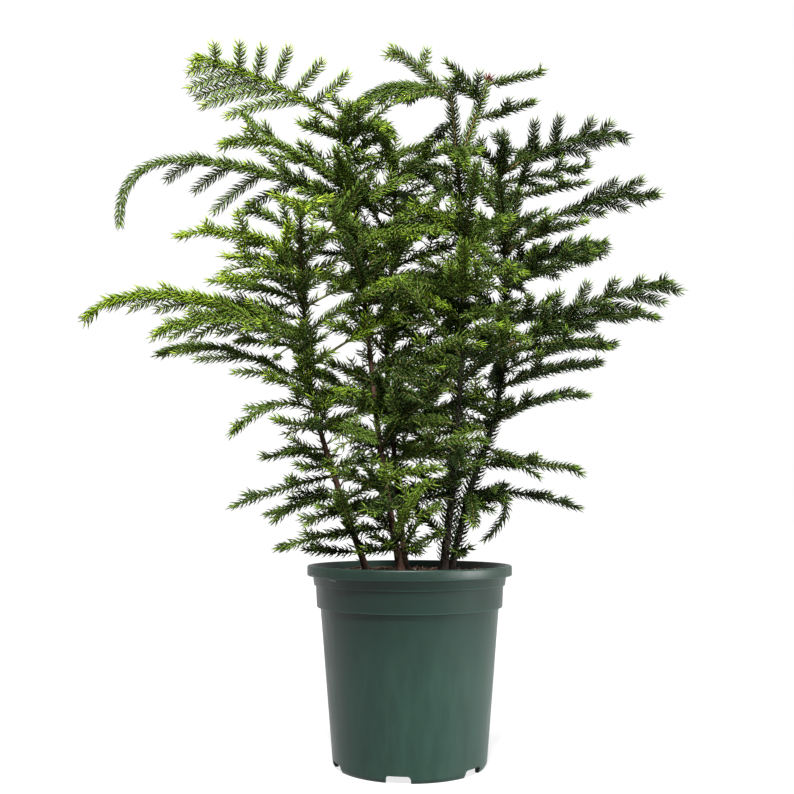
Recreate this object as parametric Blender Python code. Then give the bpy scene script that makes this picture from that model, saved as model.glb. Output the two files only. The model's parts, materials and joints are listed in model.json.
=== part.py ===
"""A clump of five young Norfolk Island pines in a moulded grower pot.

Metres, +Z up. The origin is the middle of the pot's flat underside, X runs to the right
as the clump is usually looked at, and Y runs away from the viewer.

The pot and its potting soil are turned shapes. Five stems stand on the soil. Each limb
leaves a stem at a stated height and bearing, reaches out a stated distance, and rises and
droops by stated amounts. A limb is one long spray of needles with side twigs set on it by
a seeded rule, and the longest limbs have a bare woody bough between the stem and the spray.
"""

import math
import random
from typing import NamedTuple

import bmesh
import bpy
from mathutils import Matrix, Vector
from mathutils.bvhtree import BVHTree

GAP = 0.0003  # left between pieces that touch on the real plant
SMOOTH_TURNED = math.radians(25)  # steeper edges than this stay sharp
SMOOTH_WOOD = math.radians(60)
SAME_PLACE = 1e-6

# The pot: a 9.25 inch grower pot with a rolled lip, a collar and a shoulder band.
POT_HEIGHT = 0.220
RIM_RADIUS = 0.1175
RIM_WIDTH = 0.0040
RIM_ROUND = 0.0012
LIP_DROP = 0.0115
COLLAR_RADIUS = 0.1110
COLLAR_DROP = 0.0222
BAND_RADIUS = 0.1075
BAND_DROP = 0.0465
SHOULDER_RADIUS = 0.1020
FOOT_RADIUS = 0.0868
STEP_DRAFT = 0.0015  # how much each step of the wall leans in over its height
FOOT_CHAMFER = (0.0023, 0.0040)  # in from the foot's side, and up from the ground
WALL = 0.0020
FLOOR = 0.0025
CHANNEL_HEIGHT = 0.0090  # the ring round the flat middle of the floor that stands clear of the ground
CHANNEL_INNER = 0.0600
CHANNEL_OUTER = 0.0805
CHANNEL_SLOPE = 0.003
POT_SEGMENTS = 30
NOTCHES = 6
NOTCH_WIDTH = 0.025
NOTCH_HEIGHT = 0.0078
NOTCH_DEPTH = 0.030
NOTCH_CORNER = 0.004
FIRST_NOTCH = math.radians(-99)

SOIL_TOP = 0.211
SOIL_FLAT = 0.090  # radius of the level top, which dips from there to the wall

STEM_SIDES = 8
STEM_RINGS = 11
FLARE_SHARES = (0, 0.012, 0.035)
BOUGH_SIDES = 5
BOUGH_STEPS = 4
BOUGH_FOOT = 0.0019  # radius where a bough leaves its stem, thicker by BOUGH_GROWTH of its reach
BOUGH_GROWTH = 0.004
LENGTH_STEPS = 24
FLARE_HEIGHT = 0.018
FLARE = 0.45  # how much thicker a stem is at the soil than just above its flare
STEM_TAPER = 0.8  # under 1, a stem thins sooner near its foot than near its tip

# The needles stand in rings of three round a slim core.
CORE_SIDES = 3
NEEDLE_STEP = 0.0198
NEEDLE_OUT = 0.0086
NEEDLE_FORWARD = 0.0080
TIP_TAPER = 0.35
RING_TWIST = math.radians(38)
BARE_FOOT = 0.011
CORE_FOOT, CORE_TIP = 0.0017, 0.0008
TWIG_FOOT, TWIG_TIP = 0.0011, 0.0006
TWIG_ANGLE = 50  # degrees between a twig and its limb, give or take half of ANGLE_SPREAD
ANGLE_SPREAD = 10
ROW_SPREAD = 12  # degrees by which twigs of one row differ
PLACE_SPREAD = 0.5  # share of the distance between two twigs by which they are out of step
ROW_END = 0.4
TWIG_SWEEP = 0.30  # share of a twig's length by which it bends towards its limb's tip
TWIG_LIFT = 0.06
TWIG_FULL, TWIG_TAPER = 1.22, 0.78  # a twig's length at the stem, and its fall towards the limb's tip
LENGTH_SPREAD = 0.20
FIRST_TWIG, LAST_TWIG = 0.16, 0.90  # shares of the limb between which twigs stand
TWIG_MARGIN = 0.06
CLEARANCE = 0.0005
LOWEST_NEEDLE = POT_HEIGHT + 0.003
FOOT_SEARCH = 0.00005  # step in which a limb's foot is moved out until it is clear of its stem
FOOT_SAMPLES = 12
NEXT_SHARE = 0.02  # share of a limb's line over which its direction is read
SEAT_MARGIN = 1.1


class Stem(NamedTuple):
    """A stem's line through a few points, with its radius above the flare and at its tip."""

    name: str
    line: tuple
    foot: float
    tip: float


SOIL_LINE = SOIL_TOP + GAP

STEMS = (
    Stem(
        "stem_left",
        (
            (-0.048, -0.010, SOIL_LINE),
            (-0.076, -0.018, 0.290),
            (-0.111, -0.030, 0.409),
            (-0.124, -0.042, 0.546),
            (-0.127, -0.049, 0.632),
        ),
        foot=0.0042,
        tip=0.0016,
    ),
    Stem(
        "stem_front",
        (
            (-0.010, -0.012, SOIL_LINE),
            (-0.032, -0.010, 0.340),
            (-0.048, -0.005, 0.481),
            (-0.064, 0.000, 0.637),
            (-0.082, 0.000, 0.762),
        ),
        foot=0.0046,
        tip=0.0015,
    ),
    Stem(
        "stem_back",
        (
            (-0.004, 0.014, SOIL_LINE),
            (-0.017, 0.026, 0.342),
            (-0.027, 0.042, 0.475),
            (-0.018, 0.056, 0.640),
            (-0.018, 0.064, 0.735),
        ),
        foot=0.0042,
        tip=0.0015,
    ),
    Stem(
        "stem_right",
        (
            (0.039, 0.000, SOIL_LINE),
            (0.053, -0.002, 0.338),
            (0.063, -0.008, 0.500),
            (0.062, -0.012, 0.640),
            (0.051, -0.016, 0.786),
        ),
        foot=0.0052,
        tip=0.0017,
    ),
    Stem(
        "stem_far_right",
        (
            (0.048, 0.015, SOIL_LINE),
            (0.072, 0.020, 0.304),
            (0.107, 0.030, 0.409),
            (0.120, 0.038, 0.554),
            (0.115, 0.046, 0.712),
        ),
        foot=0.0046,
        tip=0.0016,
    ),
)


class Limb(NamedTuple):
    """A limb on a stem. Lengths are in metres and angles in degrees.

    bearing is the way it points seen from above, 0 to the right and 90 away from the
    viewer. Over its reach it climbs by lift and falls by droop, the fall growing with the
    power bend of the share of the reach. Its twigs stand in two rows, raised by vee out of
    level and turned by roll about the limb. bough is the share of the reach that is bare wood.
    """

    name: str
    stem: str
    height: float
    bearing: float
    reach: float
    lift: float
    droop: float
    twigs: int
    twig_length: float
    roll: float = 0
    vee: float = 18
    bend: float = 2
    bough: float = 0
    tint: str = "green"


LIMBS = (
    # Left side, from the top down
    Limb("crest_left", "stem_front", 0.750, -158, 0.187, 0.098, 0.045, 7, 0.066, 25, -12,
         bough=0.20, tint="bright"),
    Limb("high_left_back", "stem_front", 0.681, 155, 0.167, 0.075, -0.045, 3, 0.045, 20),
    Limb("high_left", "stem_front", 0.661, -148, 0.164, 0.030, 0.000, 4, 0.048, 10, 10),
    Limb("long_arch", "stem_front", 0.636, -172, 0.272, 0.100, 0.134, 7, 0.068, -22, -22,
         bend=6, bough=0.26),
    Limb("bright_left", "stem_left", 0.592, -146, 0.149, 0.035, 0.055, 4, 0.042, 15, tint="bright"),
    Limb("mid_left", "stem_left", 0.555, -154, 0.100, 0.043, 0.040, 3, 0.050, 25),
    Limb("mid_left_back", "stem_left", 0.519, 143, 0.148, 0.071, 0.020, 3, 0.050, -25),
    Limb("low_long", "stem_left", 0.497, -175, 0.246, 0.080, 0.083, 7, 0.080, -15, -20,
         bend=4, bough=0.28, tint="bright"),
    Limb("lower_left", "stem_left", 0.424, 165, 0.199, 0.105, 0.060, 5, 0.055, -15, -10, bend=3),
    Limb("droop_left", "stem_left", 0.396, -156, 0.105, 0.050, 0.087, 2, 0.038, 10),
    Limb("short_left", "stem_left", 0.351, 163, 0.084, 0.010, 0.024, 2, 0.036, 5),
    Limb("skirt_left", "stem_left", 0.321, -152, 0.125, -0.005, 0.032, 3, 0.040, 0),
    Limb("skirt_left_back", "stem_left", 0.301, 153, 0.107, -0.025, 0.000, 2, 0.036, 0),
    Limb("foot_left", "stem_left", 0.262, -170, 0.090, -0.024, 0.000, 2, 0.032, 10, 8),
    # Top
    Limb("crest_second", "stem_right", 0.692, 20, 0.042, 0.122, 0.000, 4, 0.066, 90, -6, bough=0.58),
    Limb("crest_right", "stem_right", 0.777, -154, 0.074, 0.052, 0.012, 3, 0.042, 15, 0, tint="bright"),
    Limb("back_arch", "stem_right", 0.765, 137, 0.171, 0.146, 0.100, 3, 0.036, -20, -40),
    Limb("crest_back", "stem_back", 0.728, 120, 0.034, 0.050, 0.000, 4, 0.062, 60, 0, tint="bright"),
    # Right side, from the top down
    Limb("high_right", "stem_far_right", 0.703, -13, 0.158, 0.110, 0.072, 6, 0.046, -36, 0, bough=0.24),
    Limb("sweep_right", "stem_far_right", 0.600, -25, 0.191, 0.150, 0.104, 6, 0.048, -18, 0, bough=0.26),
    Limb("mid_right", "stem_far_right", 0.564, 16, 0.147, 0.118, 0.060, 4, 0.050, 10, 5),
    Limb("long_right", "stem_far_right", 0.477, -14, 0.214, 0.162, 0.092, 7, 0.052, -38, 2, bough=0.26),
    Limb("inner_right", "stem_far_right", 0.450, 23, 0.170, 0.094, 0.052, 4, 0.048, 10),
    Limb("lower_right", "stem_far_right", 0.430, -28, 0.130, 0.063, 0.044, 3, 0.040, -10),
    Limb("thin_right", "stem_far_right", 0.396, 10, 0.125, 0.059, 0.032, 2, 0.036, 5, tint="bright"),
    Limb("skirt_right", "stem_far_right", 0.358, -37, 0.125, -0.048, -0.020, 3, 0.044, -20, 0),
    Limb("skirt_right_back", "stem_far_right", 0.309, 0, 0.135, 0.004, 0.028, 2, 0.040, 10),
    Limb("hanging_front", "stem_far_right", 0.297, -91, 0.160, 0.015, 0.062, 2, 0.038, 0),
    # Front
    Limb("front_sweep", "stem_back", 0.505, -53, 0.245, 0.116, 0.096, 5, 0.046, -20, 5,
         bough=0.30, tint="bright"),
    Limb("front_star", "stem_left", 0.618, -82, 0.150, -0.010, 0.028, 4, 0.042, tint="bright"),
    Limb("front_bright", "stem_back", 0.574, -78, 0.150, 0.066, 0.060, 3, 0.040, 15, tint="bright"),
    Limb("front_rise", "stem_front", 0.423, -46, 0.198, 0.085, 0.036, 5, 0.046, -25, tint="bright"),
    Limb("front_inner", "stem_front", 0.364, -57, 0.132, 0.061, 0.016, 3, 0.040, 10),
    Limb("front_low", "stem_back", 0.302, -48, 0.138, -0.003, -0.036, 2, 0.036, -15),
    Limb("front_foot", "stem_front", 0.288, -96, 0.139, 0.000, 0.010, 2, 0.036),
    Limb("front_high", "stem_right", 0.700, -82, 0.150, 0.050, 0.045, 4, 0.046),
    Limb("front_middle", "stem_right", 0.585, -66, 0.175, 0.060, 0.050, 4, 0.050, -10),
    # Back
    Limb("back_high", "stem_back", 0.684, 78, 0.165, 0.070, 0.035, 4, 0.050),
    Limb("back_left_high", "stem_front", 0.610, 118, 0.200, 0.080, 0.050, 5, 0.052),
    Limb("back_right_high", "stem_far_right", 0.640, 66, 0.190, 0.085, 0.050, 5, 0.052),
    Limb("back_middle", "stem_back", 0.560, 92, 0.220, 0.080, 0.060, 5, 0.054),
    Limb("back_left", "stem_left", 0.460, 108, 0.200, 0.075, 0.050, 5, 0.052),
    Limb("back_right", "stem_far_right", 0.510, 58, 0.190, 0.070, 0.045, 4, 0.052),
    Limb("back_low", "stem_back", 0.420, 82, 0.180, 0.030, 0.040, 4, 0.046),
    Limb("back_foot", "stem_back", 0.310, 100, 0.130, -0.010, 0.020, 2, 0.038),
)

COLOURS = {
    "pot": (0.045, 0.125, 0.090, 1),
    "soil": (0.060, 0.030, 0.018, 1),
    "bark": (0.085, 0.042, 0.022, 1),
    "bough": (0.110, 0.085, 0.025, 1),
    "green": (0.040, 0.120, 0.018, 1),
    "bright": (0.110, 0.260, 0.030, 1),
}


def material(name, colour, roughness):
    made = bpy.data.materials.new(name)
    made.use_nodes = True
    shader = made.node_tree.nodes["Principled BSDF"]
    shader.inputs["Base Color"].default_value = colour
    shader.inputs["Roughness"].default_value = roughness
    shader.inputs["Metallic"].default_value = 0
    made.diffuse_color = colour
    return made


def add_object(name, bm, colour, roughness, smooth_angle=None):
    """Turns a bmesh into an object with its own material, in the scene's collection."""
    mesh = bpy.data.meshes.new(name)
    bmesh.ops.recalc_face_normals(bm, faces=bm.faces)
    bm.to_mesh(mesh)
    bm.free()
    if smooth_angle is not None:
        mesh.shade_smooth()
        mesh.set_sharp_from_angle(angle=smooth_angle)
    mesh.materials.append(material(name, COLOURS[colour], roughness))
    made = bpy.data.objects.new(name, mesh)
    bpy.context.scene.collection.objects.link(made)
    return made


# Turned pieces


def turned(profile, segments):
    """Spins an outline of (radius, height) points, both ends on the axis, into a closed solid."""
    bm = bmesh.new()
    points = [bm.verts.new((radius, 0, height)) for radius, height in profile]
    edges = [bm.edges.new(pair) for pair in zip(points, points[1:])]
    bmesh.ops.spin(
        bm,
        geom=points + edges,
        cent=(0, 0, 0),
        axis=(0, 0, 1),
        angle=math.tau,
        steps=segments,
        use_merge=True,
    )
    bmesh.ops.remove_doubles(bm, verts=bm.verts, dist=SAME_PLACE)
    return bm


def pot_profile():
    """The pot's outline from the middle of its underside, up the outside and down the inside."""
    lip = POT_HEIGHT - LIP_DROP
    collar = POT_HEIGHT - COLLAR_DROP
    band = POT_HEIGHT - BAND_DROP
    outside = [
        (0, 0),
        (CHANNEL_INNER - CHANNEL_SLOPE, 0),
        (CHANNEL_INNER, CHANNEL_HEIGHT),
        (CHANNEL_OUTER, CHANNEL_HEIGHT),
        (CHANNEL_OUTER, 0),
        (FOOT_RADIUS - FOOT_CHAMFER[0], 0),
        (FOOT_RADIUS, FOOT_CHAMFER[1]),
        (SHOULDER_RADIUS, band),
        (BAND_RADIUS - STEP_DRAFT, band),
        (BAND_RADIUS, collar),
        (COLLAR_RADIUS - STEP_DRAFT, collar),
        (COLLAR_RADIUS, lip),
        (RIM_RADIUS - RIM_ROUND, lip),
        (RIM_RADIUS, POT_HEIGHT - RIM_ROUND),
        (RIM_RADIUS - RIM_ROUND, POT_HEIGHT),
    ]
    return outside + [(RIM_RADIUS - RIM_WIDTH, POT_HEIGHT)] + soil_cavity()


def soil_cavity():
    """The inside of the pot below its rim, from the lip down to the middle of the floor."""
    channel_top = CHANNEL_HEIGHT + FLOOR
    return [
        (COLLAR_RADIUS - STEP_DRAFT - WALL, POT_HEIGHT - LIP_DROP),
        (BAND_RADIUS - STEP_DRAFT - WALL, POT_HEIGHT - COLLAR_DROP),
        (SHOULDER_RADIUS - WALL, POT_HEIGHT - BAND_DROP),
        (FOOT_RADIUS - WALL, channel_top),
        (CHANNEL_INNER - WALL / 2, channel_top),
        (CHANNEL_INNER - CHANNEL_SLOPE - WALL / 2, FLOOR),
        (0, FLOOR),
    ]


def notch_cutter(index):
    """A round-cornered block through the pot's foot ring, at one of its drain notches."""
    bm = bmesh.new()
    size = (NOTCH_DEPTH, NOTCH_WIDTH, 2 * NOTCH_HEIGHT)
    bmesh.ops.create_cube(bm, size=1, matrix=Matrix.Diagonal((*size, 1)))
    top = [
        edge
        for edge in bm.edges
        if all(vert.co.z > 0 for vert in edge.verts)
        and abs(edge.verts[0].co.y - edge.verts[1].co.y) < SAME_PLACE
    ]
    bmesh.ops.bevel(
        bm, geom=top, offset=NOTCH_CORNER, segments=2, profile=0.5, affect="EDGES", material=-1
    )
    turn = Matrix.Rotation(FIRST_NOTCH + index * math.tau / NOTCHES, 4, "Z")
    out = Matrix.Translation(((CHANNEL_OUTER + FOOT_RADIUS) / 2, 0, 0))
    bmesh.ops.transform(bm, matrix=turn @ out, verts=bm.verts)
    cutter = add_object(f"notch_cutter_{index}", bm, "pot", 0.5)
    cutter.hide_render = True
    cutter.display_type = "WIRE"
    return cutter


def add_pot():
    pot = add_object("pot", turned(pot_profile(), POT_SEGMENTS), "pot", 0.42, SMOOTH_TURNED)
    cutters = bpy.data.collections.new("notch_cutters")
    for index in range(NOTCHES):
        cutter = notch_cutter(index)
        bpy.context.scene.collection.objects.unlink(cutter)
        cutters.objects.link(cutter)
    notches = pot.modifiers.new("drain_notches", "BOOLEAN")
    notches.operation = "DIFFERENCE"
    notches.operand_type = "COLLECTION"
    notches.collection = cutters
    applied(pot, cutters)


def add_soil():
    """The filling, a gap smaller than the space that it fills, with a flat top that dips at the wall."""
    *wall, foot, corner, well, middle = soil_cavity()
    profile = [(0, SOIL_TOP), (SOIL_FLAT, SOIL_TOP)]
    profile += [(radius - GAP, height) for radius, height in wall]
    profile += [(radius - GAP, height + GAP) for radius, height in (foot, corner, well)]
    profile += [(0, middle[1] + GAP)]
    add_object("potting_soil", turned(profile, POT_SEGMENTS), "soil", 0.95, SMOOTH_TURNED)


# Tubes and sprays


def ring_matrix(centre, direction, radius, twist):
    """Places a unit circle round a point, facing along a direction."""
    turn = direction.to_track_quat("Z", "Y").to_matrix().to_4x4()
    return (
        Matrix.Translation(centre)
        @ turn
        @ Matrix.Rotation(twist, 4, "Z")
        @ Matrix.Diagonal((radius, radius, 1, 1))
    )


def directions(points):
    """The direction of a line of points at each of them."""
    ahead = [(after - before).normalized() for before, after in zip(points, points[1:])]
    between = [(before + after).normalized() for before, after in zip(ahead, ahead[1:])]
    return [ahead[0], *between, ahead[-1]]


def tube(points, radii, sides, twist=0.0):
    """Extrudes a capped circle along points. Returns the bmesh, each step's sides and the end cap."""
    bm = bmesh.new()
    lines = directions(points)
    frames = [
        ring_matrix(point, line, radius, index * twist)
        for index, (point, line, radius) in enumerate(zip(points, lines, radii))
    ]
    bmesh.ops.create_circle(bm, cap_ends=True, segments=sides, radius=1, matrix=frames[0])
    cap = bm.faces[:][0]
    steps = []
    for before, after in zip(frames, frames[1:]):
        known = set(bm.faces)
        made = bmesh.ops.extrude_face_region(bm, geom=[cap])["geom"]
        moved = [item for item in made if isinstance(item, bmesh.types.BMVert)]
        bmesh.ops.transform(bm, matrix=after @ before.inverted(), verts=moved)
        if steps:
            bmesh.ops.delete(bm, geom=[cap], context="FACES_ONLY")
        cap = next(item for item in made if isinstance(item, bmesh.types.BMFace))
        steps.append([face for face in bm.faces if face not in known and face is not cap])
    return bm, steps, cap


def spray(points, foot, tip, bare, spare=0.0):
    """A slim core along a line of points with a ring of needles drawn out of every step of it.

    The first steps stay bare as far as bare, and spare makes the whole spray that much fatter.
    """
    share = [index / (len(points) - 1) for index in range(len(points))]
    radii = [foot + (tip - foot) * part + spare for part in share]
    bm, steps, end = tube(points, radii, CORE_SIDES, RING_TWIST)
    travelled = 0.0
    for index, faces in enumerate(steps):
        before, after = points[index], points[index + 1]
        travelled += (after - before).length
        if travelled <= bare:
            continue
        line = (after - before).normalized()
        length = (NEEDLE_OUT + spare) * (1 - TIP_TAPER * share[index])
        needles = bmesh.ops.poke(bm, faces=faces)["verts"]
        for needle in needles:
            foot_point = before + line * (needle.co - before).dot(line)
            away = (needle.co - foot_point).normalized()
            needle.co = foot_point + away * length + line * (NEEDLE_FORWARD * length / NEEDLE_OUT)
    last = bmesh.ops.poke(bm, faces=[end])["verts"][0]
    last.co += (points[-1] - points[-2]).normalized() * (NEEDLE_OUT + spare)
    return bm


def curve_point(line, height):
    """The point at a height on a smooth curve through a stem's points."""
    spans = list(zip(line, line[1:]))
    index = next((i for i, (_, top) in enumerate(spans) if height <= top[2]), len(spans) - 1)
    low, high = Vector(line[index]), Vector(line[index + 1])
    share = (height - low.z) / (high.z - low.z)
    before = Vector(line[index - 1]) if index else 2 * low - high
    after = Vector(line[index + 2]) if index + 2 < len(line) else 2 * high - low
    leaving = (high - before) / (high.z - before.z) * (high.z - low.z)
    arriving = (after - low) / (after.z - low.z) * (high.z - low.z)
    eased = share * share * (3 - 2 * share)
    point = low.lerp(high, eased)
    point += leaving * share * (1 - share) ** 2 + arriving * share * share * (share - 1)
    return Vector((point.x, point.y, height))


def stem_rings(stem):
    """The middles and radii of the rings that a stem's tube is drawn through, close together at its foot."""
    bottom, top = stem.line[0][2], stem.line[-1][2]
    steps = STEM_RINGS - len(FLARE_SHARES)
    last = FLARE_SHARES[-1]
    shares = [*FLARE_SHARES, *(last + (1 - last) * (i + 1) / steps for i in range(steps))]
    points, radii = [], []
    for share in shares:
        height = bottom + (top - bottom) * share
        flare = FLARE * max(0.0, 1 - (height - bottom) / FLARE_HEIGHT) ** 2
        points.append(curve_point(stem.line, height))
        radii.append((stem.foot + (stem.tip - stem.foot) * share**STEM_TAPER) * (1 + flare))
    return points, radii


RINGS = {stem.name: stem_rings(stem) for stem in STEMS}


def stem_at(name, height):
    """A stem's middle, direction and radius at a height."""
    points, radii = RINGS[name]
    index = max(i for i, point in enumerate(points[:-1]) if point.z <= height)
    low, high = points[index], points[index + 1]
    share = (height - low.z) / (high.z - low.z)
    radius = radii[index] + (radii[index + 1] - radii[index]) * share
    return low.lerp(high, share), (high - low).normalized(), radius


def add_stem(stem):
    points, radii = RINGS[stem.name]
    bm, _, _ = tube(points, radii, STEM_SIDES)
    for vert in list(bm.verts)[:STEM_SIDES]:
        vert.co.z = points[0].z
    return add_object(stem.name, bm, "bark", 0.85, SMOOTH_WOOD)


# Limbs


def limb_point(limb, share):
    """The point at a share of the way out along a limb's line, measured from its stem's middle."""
    start, _, _ = stem_at(limb.stem, limb.height)
    bearing = math.radians(limb.bearing)
    level = Vector((math.cos(bearing), math.sin(bearing), 0)) * limb.reach * share
    rise = limb.lift * share - limb.droop * share**limb.bend
    return start + level + Vector((0, 0, rise))


def limb_line(limb, start, step):
    """Points along a limb from a share of its reach to its tip, about a step apart."""
    fine = [limb_point(limb, start + (1 - start) * i / LENGTH_STEPS) for i in range(LENGTH_STEPS + 1)]
    length = sum((after - before).length for before, after in zip(fine, fine[1:]))
    count = max(2, round(length / step))
    return [limb_point(limb, start + (1 - start) * i / count) for i in range(count + 1)]


def start_share(limb, radius):
    """The least share of its line at which a limb's foot stands a gap clear of its stem."""
    middle, axis, stem_radius = stem_at(limb.stem, limb.height)
    ahead = (limb_point(limb, NEXT_SHARE) - middle).normalized()
    turns = [math.tau * index / FOOT_SAMPLES for index in range(FOOT_SAMPLES)]
    share = 0.0
    while True:
        share += FOOT_SEARCH / limb.reach
        foot = ring_matrix(limb_point(limb, share), ahead, radius, 0)
        rim = [foot @ Vector((math.cos(turn), math.sin(turn), 0)) for turn in turns]
        if all((point - middle).cross(axis).length > stem_radius + GAP for point in rim):
            return share


def bough_radius(limb, share):
    """A limb's radius where its bare wood runs."""
    foot = BOUGH_FOOT + BOUGH_GROWTH * limb.reach
    return foot + (CORE_FOOT - foot) * min(1, share / limb.bough)


def spray_start(limb):
    """The share of its line at which a limb's needles begin, a gap clear of its bough or its stem."""
    if not limb.bough:
        return start_share(limb, CORE_FOOT)
    return limb.bough + SEAT_MARGIN * GAP / (limb_point(limb, 1) - limb_point(limb, 0)).length


def add_bough(limb):
    """The bare wood between the stem and the spray."""
    start = start_share(limb, bough_radius(limb, 0))
    shares = [start + (limb.bough - start) * i / BOUGH_STEPS for i in range(BOUGH_STEPS + 1)]
    points = [limb_point(limb, share) for share in shares]
    radii = [bough_radius(limb, share) for share in shares]
    bm, _, _ = tube(points, radii, BOUGH_SIDES)
    return add_object("bough_" + limb.name, bm, "bough", 0.8, SMOOTH_WOOD)


def twig_lines(limb):
    """The twigs of a limb: two rows in turn, longest near the foot of the spray, by a seeded rule."""
    chance = random.Random(limb.name)
    first = max(spray_start(limb) + TWIG_MARGIN, FIRST_TWIG)
    for index in range(limb.twigs):
        along = (index + PLACE_SPREAD * chance.random()) / (limb.twigs - ROW_END)
        share = first + (LAST_TWIG - first) * along
        root = limb_point(limb, share)
        ahead = (limb_point(limb, share + NEXT_SHARE) - root).normalized()
        side = Vector((0, 0, 1)).cross(ahead).normalized()
        up = ahead.cross(side).normalized()
        row = 1 if index % 2 else -1
        turn = math.radians(limb.roll + row * (90 - limb.vee + ROW_SPREAD * (chance.random() - 0.5)))
        out = up * math.cos(turn) - side * math.sin(turn)
        size = TWIG_FULL - TWIG_TAPER * share + LENGTH_SPREAD * (chance.random() - 0.5)
        length = limb.twig_length * size
        angle = math.radians(TWIG_ANGLE + ANGLE_SPREAD * (chance.random() - 0.5))
        heading = ahead * math.cos(angle) + out * math.sin(angle)
        count = max(2, round(length / NEEDLE_STEP))
        yield [
            root + length * (heading * u + ahead * TWIG_SWEEP * u * u + Vector((0, 0, TWIG_LIFT * u * u)))
            for u in (i / count for i in range(count + 1))
        ]


def applied(body, operands):
    """Makes an object's modifier permanent and removes the collection that it works with."""
    graph = bpy.context.evaluated_depsgraph_get()
    graph.update()
    made = bpy.data.meshes.new_from_object(body.evaluated_get(graph))
    body.modifiers.clear()
    old = body.data
    body.data = made
    bpy.data.meshes.remove(old)
    for item in list(operands.objects):
        bpy.data.objects.remove(item)
    bpy.data.collections.remove(operands)
    made.name = body.name


class Space:
    """What is placed so far, to keep each new spray clear of everything but its own limb."""

    def __init__(self):
        self.pieces = []

    def add(self, owner, bm):
        low, high = box_of(bm)
        self.pieces.append((owner, low, high, BVHTree.FromBMesh(bm)))

    def add_object(self, made):
        bm = bmesh.new()
        bm.from_mesh(made.data)
        self.add(made.name, bm)
        bm.free()

    def touches(self, bm, own):
        """Whether a mesh meets any piece that another owner has placed."""
        low, high = box_of(bm)
        tree = BVHTree.FromBMesh(bm)
        for owner, other_low, other_high, other in self.pieces:
            apart = any(low[i] > other_high[i] or other_low[i] > high[i] for i in range(3))
            if owner != own and not apart and tree.overlap(other):
                return True
        return False


def box_of(bm):
    places = [vert.co for vert in bm.verts]
    low = tuple(min(place[i] for place in places) for i in range(3))
    high = tuple(max(place[i] for place in places) for i in range(3))
    return low, high


def main_spray(limb):
    points = limb_line(limb, spray_start(limb), NEEDLE_STEP)
    return spray(points, CORE_FOOT, CORE_TIP, bare=BARE_FOOT)


def twig_spray(space, limb, points):
    """A twig's spray, or nothing where it would touch another piece or hang onto the pot's rim."""
    guard = spray(points, TWIG_FOOT, TWIG_TIP, bare=BARE_FOOT / 2, spare=CLEARANCE)
    lowest = box_of(guard)[0][2]
    blocked = lowest < LOWEST_NEEDLE or space.touches(guard, limb.name)
    guard.free()
    if blocked:
        return None
    return spray(points, TWIG_FOOT, TWIG_TIP, bare=BARE_FOOT / 2)


def add_masses(space):
    """Places every limb's main spray, then its twigs in turn, and joins each mass by one union."""
    sprays = {}
    for limb in LIMBS:
        body = main_spray(limb)
        space.add(limb.name, body)
        sprays[limb.name] = [body]
    waiting = {limb.name: list(twig_lines(limb)) for limb in LIMBS}
    for turn in range(max(limb.twigs for limb in LIMBS)):
        for limb in LIMBS:
            if turn >= limb.twigs:
                continue
            body = twig_spray(space, limb, waiting[limb.name][turn])
            if body:
                space.add(limb.name, body)
                sprays[limb.name].append(body)
    print("twigs placed:", sum(len(bodies) - 1 for bodies in sprays.values()))
    for limb in LIMBS:
        join_mass(limb, sprays[limb.name])


def join_mass(limb, sprays):
    """One node from a limb's main spray and its twigs, joined by one union on a collection."""
    main, *twigs = sprays
    mass = add_object("foliage_" + limb.name, main, limb.tint, 0.6)
    if not twigs:
        return
    operands = bpy.data.collections.new("twigs_" + limb.name)
    bpy.context.scene.collection.children.link(operands)
    for index, twig in enumerate(twigs):
        made = add_object(f"twig_{limb.name}_{index}", twig, limb.tint, 0.6)
        bpy.context.scene.collection.objects.unlink(made)
        operands.objects.link(made)
    union = mass.modifiers.new("joined", "BOOLEAN")
    union.operation = "UNION"
    union.operand_type = "COLLECTION"
    union.collection = operands
    union.solver = "EXACT"
    applied(mass, operands)


def main():
    for old in list(bpy.data.objects):
        bpy.data.objects.remove(old)
    add_pot()
    add_soil()
    space = Space()
    for stem in STEMS:
        space.add_object(add_stem(stem))
    for limb in LIMBS:
        if limb.bough:
            space.add_object(add_bough(limb))
    add_masses(space)


main()
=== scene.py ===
# %% [markdown]
# A clump of five young Norfolk Island pines in a green grower pot. The CAD model comes in as a
# fixed frame: pot, soil, stems, boughs and rough sprays. Each of them is then replaced by finer
# meshes that keep close to the same place. Blender works in metres here, with Z up.

# %% Load the frame
import json
import math
import random
from typing import NamedTuple

import bmesh
import bpy
import numpy as np
from mathutils import Matrix, Vector, noise

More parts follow.
